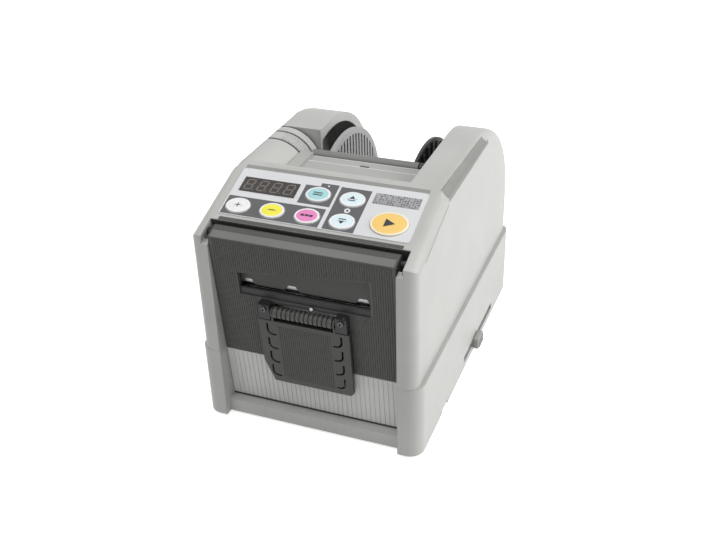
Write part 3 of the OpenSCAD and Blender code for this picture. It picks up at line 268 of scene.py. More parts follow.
def metalFinish(name, own):
    look = {**usualMetal, **own}
    finish, tree, shader = newFinish(name)
    base = linear(*look["colour"])
    lines = put(tree, "ShaderNodeGroup", dict(zip(acrossLabels, look["across"])), node_tree=lineGroup).outputs
    edges = put(tree, "ShaderNodeGroup", {"Radius": look["edge"] * mm}, node_tree=edgeGroup).outputs
    shade = mixColours(tree, stretch(tree, lines["Tone"], *look["tone"]), darker(base, look["drift"]), base)
    # Edges lighter by the edge mask: edge wear and painted highlight
    bright = mixColours(tree, multiply(tree, edges["Mask"], look["edgeWearAndHighlight"]), shade, linear(*look["wearAndHighlightColour"]))
    tree.links.new(bright, shader.inputs["Base Color"])
    addRoughness(tree, shader, lines["Height"], look)
    addRelief(tree, shader, lines["Height"], edges["Normal"], look)
    shader.inputs["Metallic"].default_value = 1.0
    return finish


caseFinish = plasticFinish("caseGrey", {"colour": (187, 187, 184), "rough": 0.42, "bump": 0.10, "edge": 0.8})
panelFinish = plasticFinish("panelGrey", {"colour": (212, 212, 210), "rough": 0.48, "drift": 0.1, "edge": 0.15})
coverFinish = plasticFinish("coverDark", {"colour": (74, 74, 72), "rough": 0.5, "wearAndHighlightColour": (120, 120, 117),
                                          "speck": 0.3, "drift": 0.14})
blackFinish = plasticFinish("blackPlastic", {"colour": (40, 40, 40), "rough": 0.46, "wearAndHighlightColour": (95, 95, 95),
                                             "speck": 0.3, "drift": 0.2})
trayFinish = plasticFinish("trayBlack", {"colour": (62, 62, 60), "rough": 0.45, "wearAndHighlightColour": (105, 105, 102),
                                         "speck": 0.25, "drift": 0.15})
overlayFinish = plasticFinish("overlayFilm", {"colour": (220, 221, 223), "rough": 0.35, "grain": 2600.0,
                                              "bump": 0.05, "drift": 0.04, "edge": 0.2})
fieldFinish = plasticFinish("fieldPrint", {"colour": (92, 92, 94), "rough": 0.38, "grain": 2600.0, "bump": 0.05,
                                           "wearAndHighlightColour": (120, 120, 122), "edge": 0.1})
printFinish = plasticFinish("darkPrint", {"colour": (48, 46, 50), "rough": 0.5, "bump": 0.04, "edge": 0.05,
                                          "wearAndHighlightColour": (80, 80, 80)})
whitePrint = plasticFinish("whitePrint", {"colour": (240, 240, 240), "rough": 0.5, "bump": 0.04, "edge": 0.05})
windowFinish = plasticFinish("windowBlack", {"colour": (38, 33, 32), "rough": 0.16, "bump": 0.02, "coat": 0.4,
                                             "wearAndHighlightColour": (80, 78, 76), "edge": 0.2, "speck": 0.1})
digitFinish = plasticFinish("digitGrey", {"colour": (118, 108, 102), "rough": 0.4, "bump": 0.05, "edge": 0.05})
moduleFinish = plasticFinish("moduleGrey", {"colour": (88, 88, 90), "rough": 0.5, "wearAndHighlightColour": (130, 130, 130)})
boardFinish = plasticFinish("boardGreen", {"colour": (38, 96, 60), "rough": 0.35, "coat": 0.3, "drift": 0.2,
                                           "wearAndHighlightColour": (180, 165, 100)})
rubberFinish = plasticFinish("rubberBlack", {"colour": (34, 34, 35), "rough": 0.75, "bump": 0.3, "grain": 900.0,
                                             "wearAndHighlightColour": (75, 75, 75), "specular": 0.25})
rollerFinish = plasticFinish("rollerRubber", {"colour": (64, 64, 66), "rough": 0.7, "bump": 0.25, "grain": 1100.0,
                                              "wearAndHighlightColour": (110, 110, 110), "specular": 0.25})
guideFinish = plasticFinish("guideGrey", {"colour": (128, 128, 126), "rough": 0.5, "drift": 0.15})
exitFinish = plasticFinish("exitGrey", {"colour": (84, 84, 82), "rough": 0.5, "wearAndHighlightColour": (140, 140, 138), "drift": 0.15})
# Painted shade for the scoop strips and the panel's creases
scoopShadeFinish = plasticFinish("scoopPaintedShade", {"colour": (138, 138, 135), "rough": 0.55})
creaseShadeFinish = plasticFinish("creasePaintedShade", {"colour": (148, 148, 145), "rough": 0.55})
grooveFinish = plasticFinish("grooveShade", {"colour": (66, 66, 64), "rough": 0.6, "wearAndHighlightColour": (100, 100, 98)})
sliderFinish = plasticFinish("sliderGrey", {"colour": (166, 166, 163), "rough": 0.45})
hingeFinish = plasticFinish("hingeDark", {"colour": (78, 78, 76), "rough": 0.5, "edge": 0.05, "edgeWearAndHighlight": 0.0})
plateGrey = plasticFinish("plateGrey", {"colour": (172, 172, 169), "rough": 0.44, "bump": 0.10, "edge": 0.3})
# Painted highlight for the top plate's step edges
stepHighlightFinish = plasticFinish("trimPale", {"colour": (228, 228, 226), "rough": 0.4})
# Painted highlight for the front cover's sloped top
coverHighlightFinish = plasticFinish("coverBandHighlight", {"colour": (112, 112, 110), "rough": 0.46, "wearAndHighlightColour": (150, 150, 148)})
gearFinish = plasticFinish("gearIvory", {"colour": (226, 220, 202), "rough": 0.4, "wearAndHighlightColour": (240, 236, 224)})
coreFinish = plasticFinish("coreWhite", {"colour": (226, 226, 224), "rough": 0.42, "grain": 1200.0})
discFinish = plasticFinish("discGrey", {"colour": (168, 168, 168), "rough": 0.45, "drift": 0.12})
steelAcross = (40.0, 2600.0, 2600.0)
turnedAcross = (3200.0, 160.0, 160.0)
sheetFinish = metalFinish("sheetSteel", {"colour": (186, 189, 193), "across": (2400.0, 40.0, 2400.0), "rough": 0.38})
shaftFinish = metalFinish("shaftSteel", {"colour": (205, 206, 208), "across": turnedAcross, "rough": 0.22})
bladeFinish = metalFinish("bladeSteel", {"colour": (186, 188, 190), "across": steelAcross, "rough": 0.34})
screwDark = metalFinish("screwDark", {"colour": (92, 92, 94), "across": (900.0, 900.0, 900.0), "rough": 0.42,
                                      "wearAndHighlightColour": (140, 140, 142)})
screwFinish = metalFinish("screwSteel", {"colour": (176, 177, 180), "across": (900.0, 900.0, 900.0), "rough": 0.3})
bronzeFinish = metalFinish("bushBronze", {"colour": (176, 128, 82), "across": turnedAcross, "rough": 0.35,
                                          "wearAndHighlightColour": (214, 170, 120)})
motorFinish = metalFinish("motorMetal", {"colour": (150, 152, 156), "across": (40.0, 1800.0, 1800.0), "rough": 0.36})
brassFinish = metalFinish("pinionBrass", {"colour": (208, 172, 96), "across": turnedAcross, "rough": 0.28,
                                          "wearAndHighlightColour": (236, 208, 140)})

nodeFinish = {
    "lower_case": caseFinish, "upper_case": caseFinish, "top_plate": plateGrey, "reel_bearings": caseFinish,
    "lower_front_panel": panelFinish, "panel_overlay": overlayFinish, "display_window": windowFinish,
    "display_module": moduleFinish, "key_switches": moduleFinish, "control_board": boardFinish,
    "driver_board": boardFinish, "rubber_feet": rubberFinish, "case_screws": screwFinish,
    "chassis_screws": screwFinish, "tray_screws": screwDark, "chassis": sheetFinish, "tape_guide": sheetFinish,
    "shaft_bushes": bronzeFinish, "feed_motor": motorFinish, "cutter_motor": motorFinish,
    "fixed_blade": bladeFinish, "moving_blade": bladeFinish, "blade_guard": coverFinish,
    "blade_beam": blackFinish, "blade_carriage": blackFinish, "guide_posts": shaftFinish,
    "cover_hinge_pin": blackFinish, "guide_roller_axle": blackFinish, "power_jack": blackFinish,
    "switch_housing": blackFinish, "front_cover": coverFinish, "tray_bracket": blackFinish,
    "tray_pin": shaftFinish, "exit_roller": exitFinish, "tape_tray": trayFinish, "side_slider": caseFinish,
    "reel_spindle": shaftFinish, "reel_core": coreFinish, "reel_disc_left": discFinish,
    "reel_disc_right": blackFinish, "guide_roller": guideFinish, "feed_shaft": shaftFinish,
    "feed_rubber": rollerFinish, "feed_gear": gearFinish, "feed_sync_gear": gearFinish,
    "press_roller": rollerFinish, "press_sync_gear": gearFinish, "feed_pinion": brassFinish,
    "cutter_shaft": shaftFinish, "cutter_gear": gearFinish, "cutter_pinion": brassFinish,
    "power_rocker": blackFinish,
}
for name, node in nodes.items():
    node.data.materials.clear()
    node.data.materials.append(nodeFinish.get(name, caseFinish))
print("finishes made")


# Mesh tools

def addLoop(mesh, points):
    corners = [mesh.verts.new(point) for point in points]
    return [mesh.edges.new((corners[i - 1], corners[i])) for i in range(len(corners))]


# Raises faces into a solid and gives back its new top
def raiseFaces(mesh, faces, way):
    raised = bmesh.ops.extrude_face_region(mesh, geom=faces, use_keep_orig=True)["geom"]
    corners = [part for part in raised if isinstance(part, bmesh.types.BMVert)]
    bmesh.ops.translate(mesh, verts=corners, vec=way)
    return [part for part in raised if isinstance(part, bmesh.types.BMFace)]


# A flat sheet with any holes, drawn in x and y and raised from low to high
def addSheet(mesh, loops, low, high):
    edges = [edge for loop in loops for edge in addLoop(mesh, [(x, y, low) for x, y in loop])]
    filled = bmesh.ops.triangle_fill(mesh, use_beauty=True, use_dissolve=False, edges=edges)["geom"]
    raiseFaces(mesh, [part for part in filled if isinstance(part, bmesh.types.BMFace)], (0, 0, high - low))


def addBox(mesh, low, high, rounded=0.0, segments=2):
    made = bmesh.ops.create_cube(mesh, size=1)["verts"]
    bmesh.ops.scale(mesh, verts=made, vec=Vector(high) - Vector(low))
    bmesh.ops.translate(mesh, verts=made, vec=(Vector(low) + Vector(high)) / 2)
    if rounded:
        edges = list({edge for corner in made for edge in corner.link_edges})
        bmesh.ops.bevel(mesh, geom=edges, offset=rounded, segments=segments, affect="EDGES", profile=0.5,
                        material=-1)


# Turns an open outline once round an axis
def addTurned(mesh, outline, centre, axis, steps):
    corners = [mesh.verts.new(point) for point in outline]
    edges = [mesh.edges.new(pair) for pair in zip(corners, corners[1:])]
    bmesh.ops.spin(mesh, geom=corners + edges, cent=centre, axis=axis, angle=2 * math.pi, steps=steps,
                   use_merge=True)


def newCorners(mesh, before):
    return [corner for corner in mesh.verts if corner not in before]


def rectangle(left, low, right, high):
    return [(left, low), (right, low), (right, high), (left, high)]


def ellipse(a, b, x=0, y=0, count=48):
    return [(x + a * math.cos(2 * math.pi * i / count), y + b * math.sin(2 * math.pi * i / count))
            for i in range(count)]


def circle(radius, x=0, y=0, count=48):
    return ellipse(radius, radius, x, y, count)


def crossOutline(arm, bar):
    return [(-arm, -bar), (-bar, -bar), (-bar, -arm), (bar, -arm), (bar, -bar), (arm, -bar), (arm, bar), (bar, bar),
            (bar, arm), (-bar, arm), (-bar, bar), (-arm, bar)]


def finishPiece(name, mesh, place, body, finishes, stands=(), angle=35):
    bmesh.ops.recalc_face_normals(mesh, faces=mesh.faces[:])
    bmesh.ops.transform(mesh, matrix=Matrix.Scale(mm, 4) @ place, verts=mesh.verts[:])
    data = bpy.data.meshes.new(name)
    mesh.to_mesh(data)
    mesh.free()
    data.shade_smooth()
    data.set_sharp_from_angle(angle=math.radians(angle))
    for finish in finishes:
        data.materials.append(finish)
    piece = bpy.data.objects.new(name, data)
    scene.collection.objects.link(piece)
    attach(piece, body)
    if stands:
        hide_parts(*stands)


# The upper case comes in flat facets: two modifiers join them and shade them as a smooth moulding
softFacets = {"angle": 18.07, "join": 0.01, "weight": 100}


def softenFacets(node, look):
    tree = bpy.data.node_groups.new("softFacets", "GeometryNodeTree")
    tree.interface.new_socket("Geometry", in_out="INPUT", socket_type="NodeSocketGeometry")
    tree.interface.new_socket("Geometry", in_out="OUTPUT", socket_type="NodeSocketGeometry")
    enter, leave = tree.nodes.new("NodeGroupInput"), tree.nodes.new("NodeGroupOutput")
    plain = put(tree, "GeometryNodeRemoveAttribute", {"Name": "custom_normal"}, {"Geometry": enter.outputs[0]})
    joined = put(tree, "GeometryNodeMergeByDistance", {"Distance": look["join"] * mm},
                 {"Geometry": plain.outputs[0]})
    faces = put(tree, "GeometryNodeSetShadeSmooth", {"Shade Smooth": True}, {"Geometry": joined.outputs[0]})
    bend = put(tree, "GeometryNodeInputMeshEdgeAngle").outputs["Unsigned Angle"]
    soft = put(tree, "FunctionNodeCompare", {"B": math.radians(look["angle"])}, {"A": bend}, operation="LESS_THAN")
    edges = put(tree, "GeometryNodeSetShadeSmooth",
                links={"Geometry": faces.outputs[0], "Shade Smooth": soft.outputs[0]}, domain="EDGE")
    tree.links.new(edges.outputs[0], leave.inputs[0])
    node.modifiers.new("softFacets", "NODES").node_group = tree
    weighted = node.modifiers.new("weightedNormals", "WEIGHTED_NORMAL")
    weighted.keep_sharp = True
    weighted.weight = look["weight"]


softenFacets(nodes["upper_case"], softFacets)

# Fine upright ribs on the front cover, left out at the tape slot and at the roller bracket
coverRibs = {"pitch": 1.4, "foot": 0.9, "crest": 0.45, "proud": 0.3, "sunk": 0.05, "face": 0.0, "reach": 54.4,
             "top": -1.0, "bottom": -80.0, "slotX": 40.9, "slotLow": -37.3, "slotMid": -16.5, "slotRise": 0.1124,
             "bracketX": 28.2, "bracketLow": exitHeight - 6}


def ribPlaces(look):
    count = int(look["reach"] / look["pitch"])
    return [i * look["pitch"] for i in range(-count, count + 1)]


def addRib(mesh, x, low, high, look):
    foot, crest = look["foot"] / 2, look["crest"] / 2
    back, front = look["face"] + look["sunk"], look["face"] - look["proud"]
    profile = [(x - foot, back), (x + foot, back), (x + crest, front), (x - crest, front)]
    end = mesh.faces.new([mesh.verts.new((px, py, low)) for px, py in profile])
    raiseFaces(mesh, [end], (0, 0, high - low))


mesh = bmesh.new()
for x in ribPlaces(coverRibs):
    if abs(x) > coverRibs["slotX"]:
        addRib(mesh, x, coverRibs["bottom"], coverRibs["top"], coverRibs)
        continue
    addRib(mesh, x, coverRibs["slotMid"] + coverRibs["slotRise"] * x, coverRibs["top"], coverRibs)
    low = coverRibs["bracketLow"] if abs(x) < coverRibs["bracketX"] else coverRibs["slotLow"]
    addRib(mesh, x, coverRibs["bottom"], low, coverRibs)
finishPiece("coverRibs", mesh, onCover, "cover", [coverFinish])

# Finer ribs down the middle of the tape tray
trayRibs = {"pitch": 1.3, "foot": 0.8, "crest": 0.4, "proud": 0.2, "sunk": 0.05, "face": -4.5, "reach": 15.8,
            "top": exitHeight - 9, "bottom": exitHeight - 48}
mesh = bmesh.new()
for x in ribPlaces(trayRibs):
    addRib(mesh, x, trayRibs["bottom"], trayRibs["top"], trayRibs)
finishPiece("trayRibs", mesh, onCover, "tray", [trayFinish])
print("ribs made")

# Sensor dome in a black bezel below the tape slot, from a half outline of radius and depth; the dome's white is a
# painted glint
sensorLens = {"x": 4.5, "v": coverHeight(88.8), "steps": 32, "weld": 0.0005,
              "bezel": [(0, 0.1), (1.5, 0.1), (1.5, -0.5), (1.35, -0.7), (1.2, -0.7), (1.12, -0.6)],
              "dome": [(1.0, -1.1), (0.6, -1.4), (0, -1.55)], "domeRadius": 1.11, "domeDepth": -0.62}
mesh = bmesh.new()
lensX, lensV = sensorLens["x"], sensorLens["v"]
addTurned(mesh, [(lensX + radius, depth, lensV) for radius, depth in sensorLens["bezel"] + sensorLens["dome"]],
          (lensX, 0, lensV), (0, 1, 0), sensorLens["steps"])
bmesh.ops.remove_doubles(mesh, verts=mesh.verts[:], dist=sensorLens["weld"])
for face in mesh.faces:
    centre = face.calc_center_median()
    inside = (centre.xz - Vector((lensX, lensV))).length < sensorLens["domeRadius"]
    if inside and centre.y < sensorLens["domeDepth"]:
        face.material_index = 1
finishPiece("sensorLens", mesh, onCover, "cover", [blackFinish, whitePrint])

# Key caps: a rim round a low dome in the key's own colour; each step gives its inset, its rise and 1 for the dome
keyRise = {"foot": -3.0, "shoulder": 1.0, "sides": 48, "stem": 1.5, "stemFoot": -6.4, "stemSides": 24, "lap": 0.2,
           "steps": [(0.3, 0.26, 0), (0.35, 0.08, 0), (0.35, -0.06, 0), (0.12, -0.16, 0), (0.12, 0.04, 1),
                     (1.2, 0.10, 1), (1.6, 0.05, 1), (1.0, 0.01, 1)], "sharp": 40}
keyHalf = (7.35, 5.75)
keys = {
    "plus": {"at": (-47.9, 26.6), "half": keyHalf, "colour": (240, 240, 241), "slot": "key_white"},
    "minus": {"at": (-26.5, 26.6), "half": keyHalf, "colour": (248, 240, 80), "slot": "key_yellow"},
    "select": {"at": (-5.0, 26.6), "half": keyHalf, "colour": (236, 140, 198), "slot": "key_pink"},
    "mode": {"at": (-5.0, 44.2), "half": keyHalf, "colour": (172, 220, 224), "slot": "key_cyan"},
    "reverse": {"at": (16.0, 44.2), "half": keyHalf, "colour": (226, 244, 249), "slot": "key_white"},
    "forward": {"at": (16.0, 26.6), "half": keyHalf, "colour": (226, 244, 249), "slot": "key_white"},
    "start": {"at": (42.6, 30.2), "half": (10.95, 8.75), "colour": (251, 210, 120), "slot": "key_orange",
              "rim": (255, 247, 222)},
}
rimFinish = plasticFinish("keyRim", {"colour": (246, 246, 246), "rough": 0.36, "bump": 0.05, "drift": 0.03})
for name, key in keys.items():
    mesh = bmesh.new()
    made = bmesh.ops.create_circle(mesh, cap_ends=True, segments=keyRise["sides"], radius=1)["verts"]
    bmesh.ops.scale(mesh, verts=made, vec=(*key["half"], 1))
    bmesh.ops.translate(mesh, verts=made, vec=(*key["at"], keyRise["foot"]))
    top = raiseFaces(mesh, mesh.faces[:], (0, 0, keyRise["shoulder"] - keyRise["foot"]))
    mesh.normal_update()
    for inset, rise, index in keyRise["steps"]:
        ring = bmesh.ops.inset_region(mesh, faces=top, thickness=inset, depth=0, use_even_offset=True)["faces"]
        bmesh.ops.translate(mesh, verts=list({corner for face in top for corner in face.verts}), vec=(0, 0, rise))
        for face in ring + top:
            face.material_index = index
    stem = bmesh.ops.create_cone(mesh, cap_ends=True, segments=keyRise["stemSides"], radius1=keyRise["stem"],
                                 radius2=keyRise["stem"],
                                 depth=keyRise["foot"] - keyRise["stemFoot"] + keyRise["lap"])["verts"]
    stemMiddle = (keyRise["foot"] + keyRise["stemFoot"] + keyRise["lap"]) / 2
    bmesh.ops.translate(mesh, verts=stem, vec=(*key["at"], stemMiddle))
    face = plasticFinish("key_" + name, {"colour": key["colour"], "rough": 0.34, "bump": 0.06, "drift": 0.05,
                                         "edgeWearAndHighlight": 0.1, "edge": 0.2})
    rim = plasticFinish("rim_" + name, {"colour": key["rim"], "rough": 0.36}) if "rim" in key else rimFinish
    finishPiece("keyCap_" + name, mesh, onPanel, "key_" + name, [rim, face], ("button_" + name,),
                keyRise["sharp"])
print("key caps made")

# Printed signs on the keys, each a thin raised print on the dome
signHeight = {"low": 1.2, "high": 1.47}
signs = {
    "plus": [crossOutline(1.6, 0.22)],
    "minus": [rectangle(-1.9, -0.25, 1.9, 0.25)],
    "select": [rectangle(-3.6, -0.7, -1.6, 0.7), rectangle(-1.0, -0.7, 1.0, 0.7), rectangle(1.6, -0.7, 3.6, 0.7)],
    "mode": [rectangle(-2.8, 0.7, 2.8, 1.2), rectangle(-2.8, -1.2, 2.8, -0.7)],
    "reverse": [[(-1.5, 0.2), (1.5, 0.2), (0, 2.3)], rectangle(-2.2, -1.6, 2.2, -1.0)],
    "forward": [[(0, -2.3), (1.5, -0.2), (-1.5, -0.2)], rectangle(-2.2, 1.0, 2.2, 1.6)],
    "start": [[(-2.6, -3.0), (3.4, 0), (-2.6, 3.0)]],
}
for name, loops in signs.items():
    mesh = bmesh.new()
    x, u = keys[name]["at"]
    for loop in loops:
        addSheet(mesh, [[(x + px, u + py) for px, py in loop]], signHeight["low"], signHeight["high"])
    finishPiece("keySign_" + name, mesh, onPanel, "key_" + name, [printFinish])

# Printed fields round the keys, with clear openings for them
fieldPrint = {"low": 0.38, "high": 0.45, "clear": 0.45}


def keyHole(name):
    a, b = keys[name]["half"]
    return ellipse(a + fieldPrint["clear"], b + fieldPrint["clear"], *keys[name]["at"])


fields = {
    "fieldLower": [rectangle(-56.6, 19.5, 3.9, 34.0), keyHole("plus"), keyHole("minus"), keyHole("select")],
    "fieldMode": [[(-15, 36.0), (4.8, 36.0), (4.8, 53.8), (-6, 53.8), (-6, 51.0), (-15, 51.0)], keyHole("mode")],
    "fieldTape": [rectangle(6.4, 19.5, 25.0, 53.0), keyHole("reverse"), keyHole("forward")],
}
for name, loops in fields.items():
    mesh = bmesh.new()
    addSheet(mesh, loops, fieldPrint["low"], fieldPrint["high"])
    finishPiece(name, mesh, onPanel, "case", [fieldFinish])

# A roll sign between the tape keys and a lamp beside the mode key, by radius, place and number of sides
rollSign = {"outer": (1.75, 16.0, 35.4, 32), "inner": (0.85, 16.0, 35.4, 24), "lamp": (0.55, -1.2, 52.0, 20),
            "low": 0.42, "high": 0.52, "lampHigh": 0.55}
mesh = bmesh.new()
addSheet(mesh, [circle(*rollSign["outer"]), circle(*rollSign["inner"])], rollSign["low"], rollSign["high"])
addSheet(mesh, [circle(*rollSign["lamp"])], rollSign["low"], rollSign["lampHigh"])
finishPiece("rollSign", mesh, onPanel, "case", [whitePrint])

# A plain speckled plate at the panel's upper right
barePlate = {"left": 27.6, "low": 44.0, "right": 54.9, "high": 52.4}
plateFinish = plasticFinish("bareSpeckled", {"colour": (182, 182, 184), "rough": 0.5, "grain": 500.0, "bump": 0.2,
                                             "drift": 0.3, "speck": 0.95, "dust": 0.8, "speckScale": 420.0,
                                             "dustColour": (62, 62, 66)})
mesh = bmesh.new()
addSheet(mesh, [rectangle(**barePlate)], fieldPrint["low"], fieldPrint["high"])
finishPiece("barePlate", mesh, onPanel, "case", [plateFinish])

# Dark flecks scattered over the plate, one at most in each cell of a grid
plateFlecks = {"columns": 17, "rows": 6, "size": (0.25, 0.68), "tallest": 0.58, "stray": 0.1, "share": 0.7,
               "sides": 9, "high": 0.5, "seed": 11}
draw = random.Random(plateFlecks["seed"])
mesh = bmesh.new()
across = (barePlate["right"] - barePlate["left"]) / plateFlecks["columns"]
along = (barePlate["high"] - barePlate["low"]) / plateFlecks["rows"]
for column in range(plateFlecks["columns"]):
    for row in range(plateFlecks["rows"]):
        wide, tall = (draw.uniform(*plateFlecks["size"]) for _ in range(2))
        x = barePlate["left"] + (column + 0.5) * across + draw.uniform(-plateFlecks["stray"], plateFlecks["stray"])
        u = barePlate["low"] + (row + 0.5) * along + draw.uniform(-plateFlecks["stray"], plateFlecks["stray"])
        if draw.random() < plateFlecks["share"]:
            fleck = ellipse(wide, min(tall, plateFlecks["tallest"]), x, u, plateFlecks["sides"])
            addSheet(mesh, [fleck], fieldPrint["low"], plateFlecks["high"])
finishPiece("plateFlecks", mesh, onPanel, "case", [fieldFinish])

# Four unlit seven-segment digits on the display window, each with its point
digits = {"count": 4, "x": -35.6, "u": 44.4, "pitch": 8.4, "half": (2.3, 3.9), "bar": 0.85, "gap": 0.12,
          "point": 0.45, "pointX": 3.3, "pointSides": 12, "slant": math.radians(8), "low": 0.66, "high": 0.75}


def segmentOutline(start, end):
    along = (Vector(end) - Vector(start)).normalized()
    side = Vector((-along.y, along.x)) * digits["bar"] / 2
    start, end = Vector(start) + along * digits["gap"], Vector(end) - along * digits["gap"]
    tip = along * digits["bar"] / 2
    return [start, start + tip + side, end - tip + side, end, end - tip - side, start + tip - side]


mesh = bmesh.new()
wide, tall = digits["half"]
segments = [((-wide, y), (wide, y)) for y in (tall, 0, -tall)]
segments += [((x, y), (x, y - tall)) for x in (-wide, wide) for y in (tall, 0)]
for i in range(digits["count"]):
    middle = digits["x"] + (i - (digits["count"] - 1) / 2) * digits["pitch"]
    for start, end in segments:
        outline = [(middle + p.x + p.y * math.tan(digits["slant"]), digits["u"] + p.y)
                   for p in segmentOutline(start, end)]
        addSheet(mesh, [outline], digits["low"], digits["high"])
    point = circle(digits["point"], middle + digits["pointX"], digits["u"] - tall, digits["pointSides"])
    addSheet(mesh, [point], digits["low"], digits["high"])
finishPiece("displayDigits", mesh, onPanel, "case", [digitFinish])
print("panel print made")

# Hatched ribs across the left arm's shoulder, between its grooves
shoulderHatch = {"x": -58.0, "z": 123.5, "radius": 22.0, "y": (-5.8, 3.7), "from": 8, "to": 84, "pitch": 4,
                 "foot": 0.8, "crest": 0.4, "proud": 0.3, "sunk": 0.1}
onShoulder = Matrix.Translation((shoulderHatch["x"], 0, shoulderHatch["z"]))
mesh = bmesh.new()
low, high = shoulderHatch["y"]
foot, crest = shoulderHatch["foot"] / 2, shoulderHatch["crest"] / 2
inner, outer = shoulderHatch["radius"] - shoulderHatch["sunk"], shoulderHatch["radius"] + shoulderHatch["proud"]
for angle in range(shoulderHatch["from"], shoulderHatch["to"], shoulderHatch["pitch"]):
    before = set(mesh.verts)
    profile = [(inner, -foot), (inner, foot), (outer, crest), (outer, -crest)]
    end = mesh.faces.new([mesh.verts.new((out, low, side)) for out, side in profile])
    raiseFaces(mesh, [end], (0, high - low, 0))
    bmesh.ops.rotate(mesh, verts=newCorners(mesh, before), cent=(0, 0, 0),
                     matrix=Matrix.Rotation(-math.radians(angle), 3, "Y"))
finishPiece("shoulderHatch", mesh, onShoulder, "case", [caseFinish])

# Painted shade: darker strips in the scoops along the arms' outer top edges, wide at the front and narrower to the
# rear
scoopShadeStrip = {"x": 60.6, "z": 138.5, "corner": 7.0, "apart": 13.01, "scoop": 7.2, "y": (-45.5, 40.0),
              "inner": (-32, -18), "outer": (40, 38), "proud": 0.06, "deep": 0.15, "rows": 18, "steps": 20}


# How far the case's surface is from the corner's centre, at a turn from the diagonal
def scoopReach(turn):
    chord = scoopShadeStrip["scoop"] ** 2 - (scoopShadeStrip["apart"] * math.sin(turn)) ** 2
    hollow = scoopShadeStrip["apart"] * math.cos(turn) - math.sqrt(chord) if chord > 0 else scoopShadeStrip["corner"]
    return min(scoopShadeStrip["corner"], hollow)


def scoopPoint(side, y, turn, reach):
    slant = math.pi / 4 + turn
    return side * (scoopShadeStrip["x"] + reach * math.sin(slant)), y, scoopShadeStrip["z"] + reach * math.cos(slant)


mesh = bmesh.new()
for side in (-1, 1):
    rings = []
    for row in range(scoopShadeStrip["rows"] + 1):
        share = row / scoopShadeStrip["rows"]
        y = scoopShadeStrip["y"][0] + share * (scoopShadeStrip["y"][1] - scoopShadeStrip["y"][0])
        inner, outer = (math.radians(front + share * (rear - front))
                        for front, rear in (scoopShadeStrip["inner"], scoopShadeStrip["outer"]))
        turns = [inner + (outer - inner) * step / scoopShadeStrip["steps"] for step in range(scoopShadeStrip["steps"] + 1)]
        ring = [(turn, scoopReach(turn) + scoopShadeStrip["proud"]) for turn in turns]
        ring += [(turn, scoopReach(turn) - scoopShadeStrip["deep"]) for turn in reversed(turns)]
        rings.append(addLoop(mesh, [scoopPoint(side, y, turn, reach) for turn, reach in ring]))
    for first, second in zip(rings, rings[1:]):
        bmesh.ops.bridge_loops(mesh, edges=first + second)
    for end in (rings[0], rings[-1]):
        bmesh.ops.edgeloop_fill(mesh, edges=end)
finishPiece("scoopShadeStrip", mesh, onPart, "case", [scoopShadeFinish])

# Shaded bottoms of the three grooves across the shoulder
grooveShade = {"at": (-8.0, 4.0, 12.1), "width": 1.9, "inset": 0.06, "radius": 21.5, "deep": 1.2, "out": -4.4,
               "steps": 24}
mesh = bmesh.new()
arc = [math.radians(90 * step / grooveShade["steps"]) for step in range(grooveShade["steps"] + 1)]
outer, inner = grooveShade["radius"], grooveShade["radius"] - grooveShade["deep"]
outline = [(outer * math.cos(turn), outer * math.sin(turn)) for turn in arc]
outline += [(grooveShade["out"], outer), (grooveShade["out"], inner)]
outline += [(inner * math.cos(turn), inner * math.sin(turn)) for turn in reversed(arc)]
for y in grooveShade["at"]:
    addSheet(mesh, [outline], -y - grooveShade["width"] + grooveShade["inset"], -y - grooveShade["inset"])
finishPiece("grooveShade", mesh, onShoulder @ standUp, "case", [grooveFinish])

# Painted shade: creases on both sides where the panel's rounded edges end, and a darker strip above the overlay
panelEdgeShade = {"side": (67.5, 67.64), "u": (13.5, 58.5), "n": (-7.6, -6.85), "strip": (-57.0, 57.7, 57.0, 60.8),
             "stripN": (-0.1, 0.04)}
mesh = bmesh.new()
for side in (-1, 1):
    near, far = sorted(side * x for x in panelEdgeShade["side"])
    addBox(mesh, (near, panelEdgeShade["u"][0], panelEdgeShade["n"][0]), (far, panelEdgeShade["u"][1], panelEdgeShade["n"][1]))
addSheet(mesh, [rectangle(*panelEdgeShade["strip"])], *panelEdgeShade["stripN"])
finishPiece("panelEdgeShade", mesh, onPanel, "case", [creaseShadeFinish])

# Dark strip along the hinge
hingeStrip = {"strip": (-55.4, 14.36, 55.4, 17.0), "n": (-0.1, 0.05)}
mesh = bmesh.new()
addSheet(mesh, [rectangle(*hingeStrip["strip"])], *hingeStrip["n"])
finishPiece("hingeStrip", mesh, onPanel, "case", [hingeFinish])

# Painted shade: dark sheets at the foot of the lower panel, in the plate's slit and in the slot's sill, and an inner
# screen behind the hinge, so that the gap there looks into the dark
footShade = {"low": (-55.5, -0.12, -117.9), "high": (55.5, 0.05, -116.5)}
slitShade = {"low": (0.52, -13.58, 135.0), "high": (6.48, -10.12, 135.5)}
slotSill = {"low": (-40.1, -100.24, 90.05), "high": (40.1, -100.05, 94.15)}
hingeScreen = {"low": (-62.5, 13.95, -18.0), "high": (62.5, 14.25, -0.4)}
for name, look, place, body, slot, finish in (
        ("footShade", footShade, onCover, "case", "case_grey", grooveFinish),
        ("slitShade", slitShade, onPart, "case", "black_plastic", blackFinish),
        ("slotSill", slotSill, onPart, "cover", "black_plastic", blackFinish),
        ("hingeScreen", hingeScreen, onPanel, "case", "dark_plastic", coverFinish)):
    mesh = bmesh.new()
    addBox(mesh, look["low"], look["high"])
    finishPiece(name, mesh, place, body, [finish])

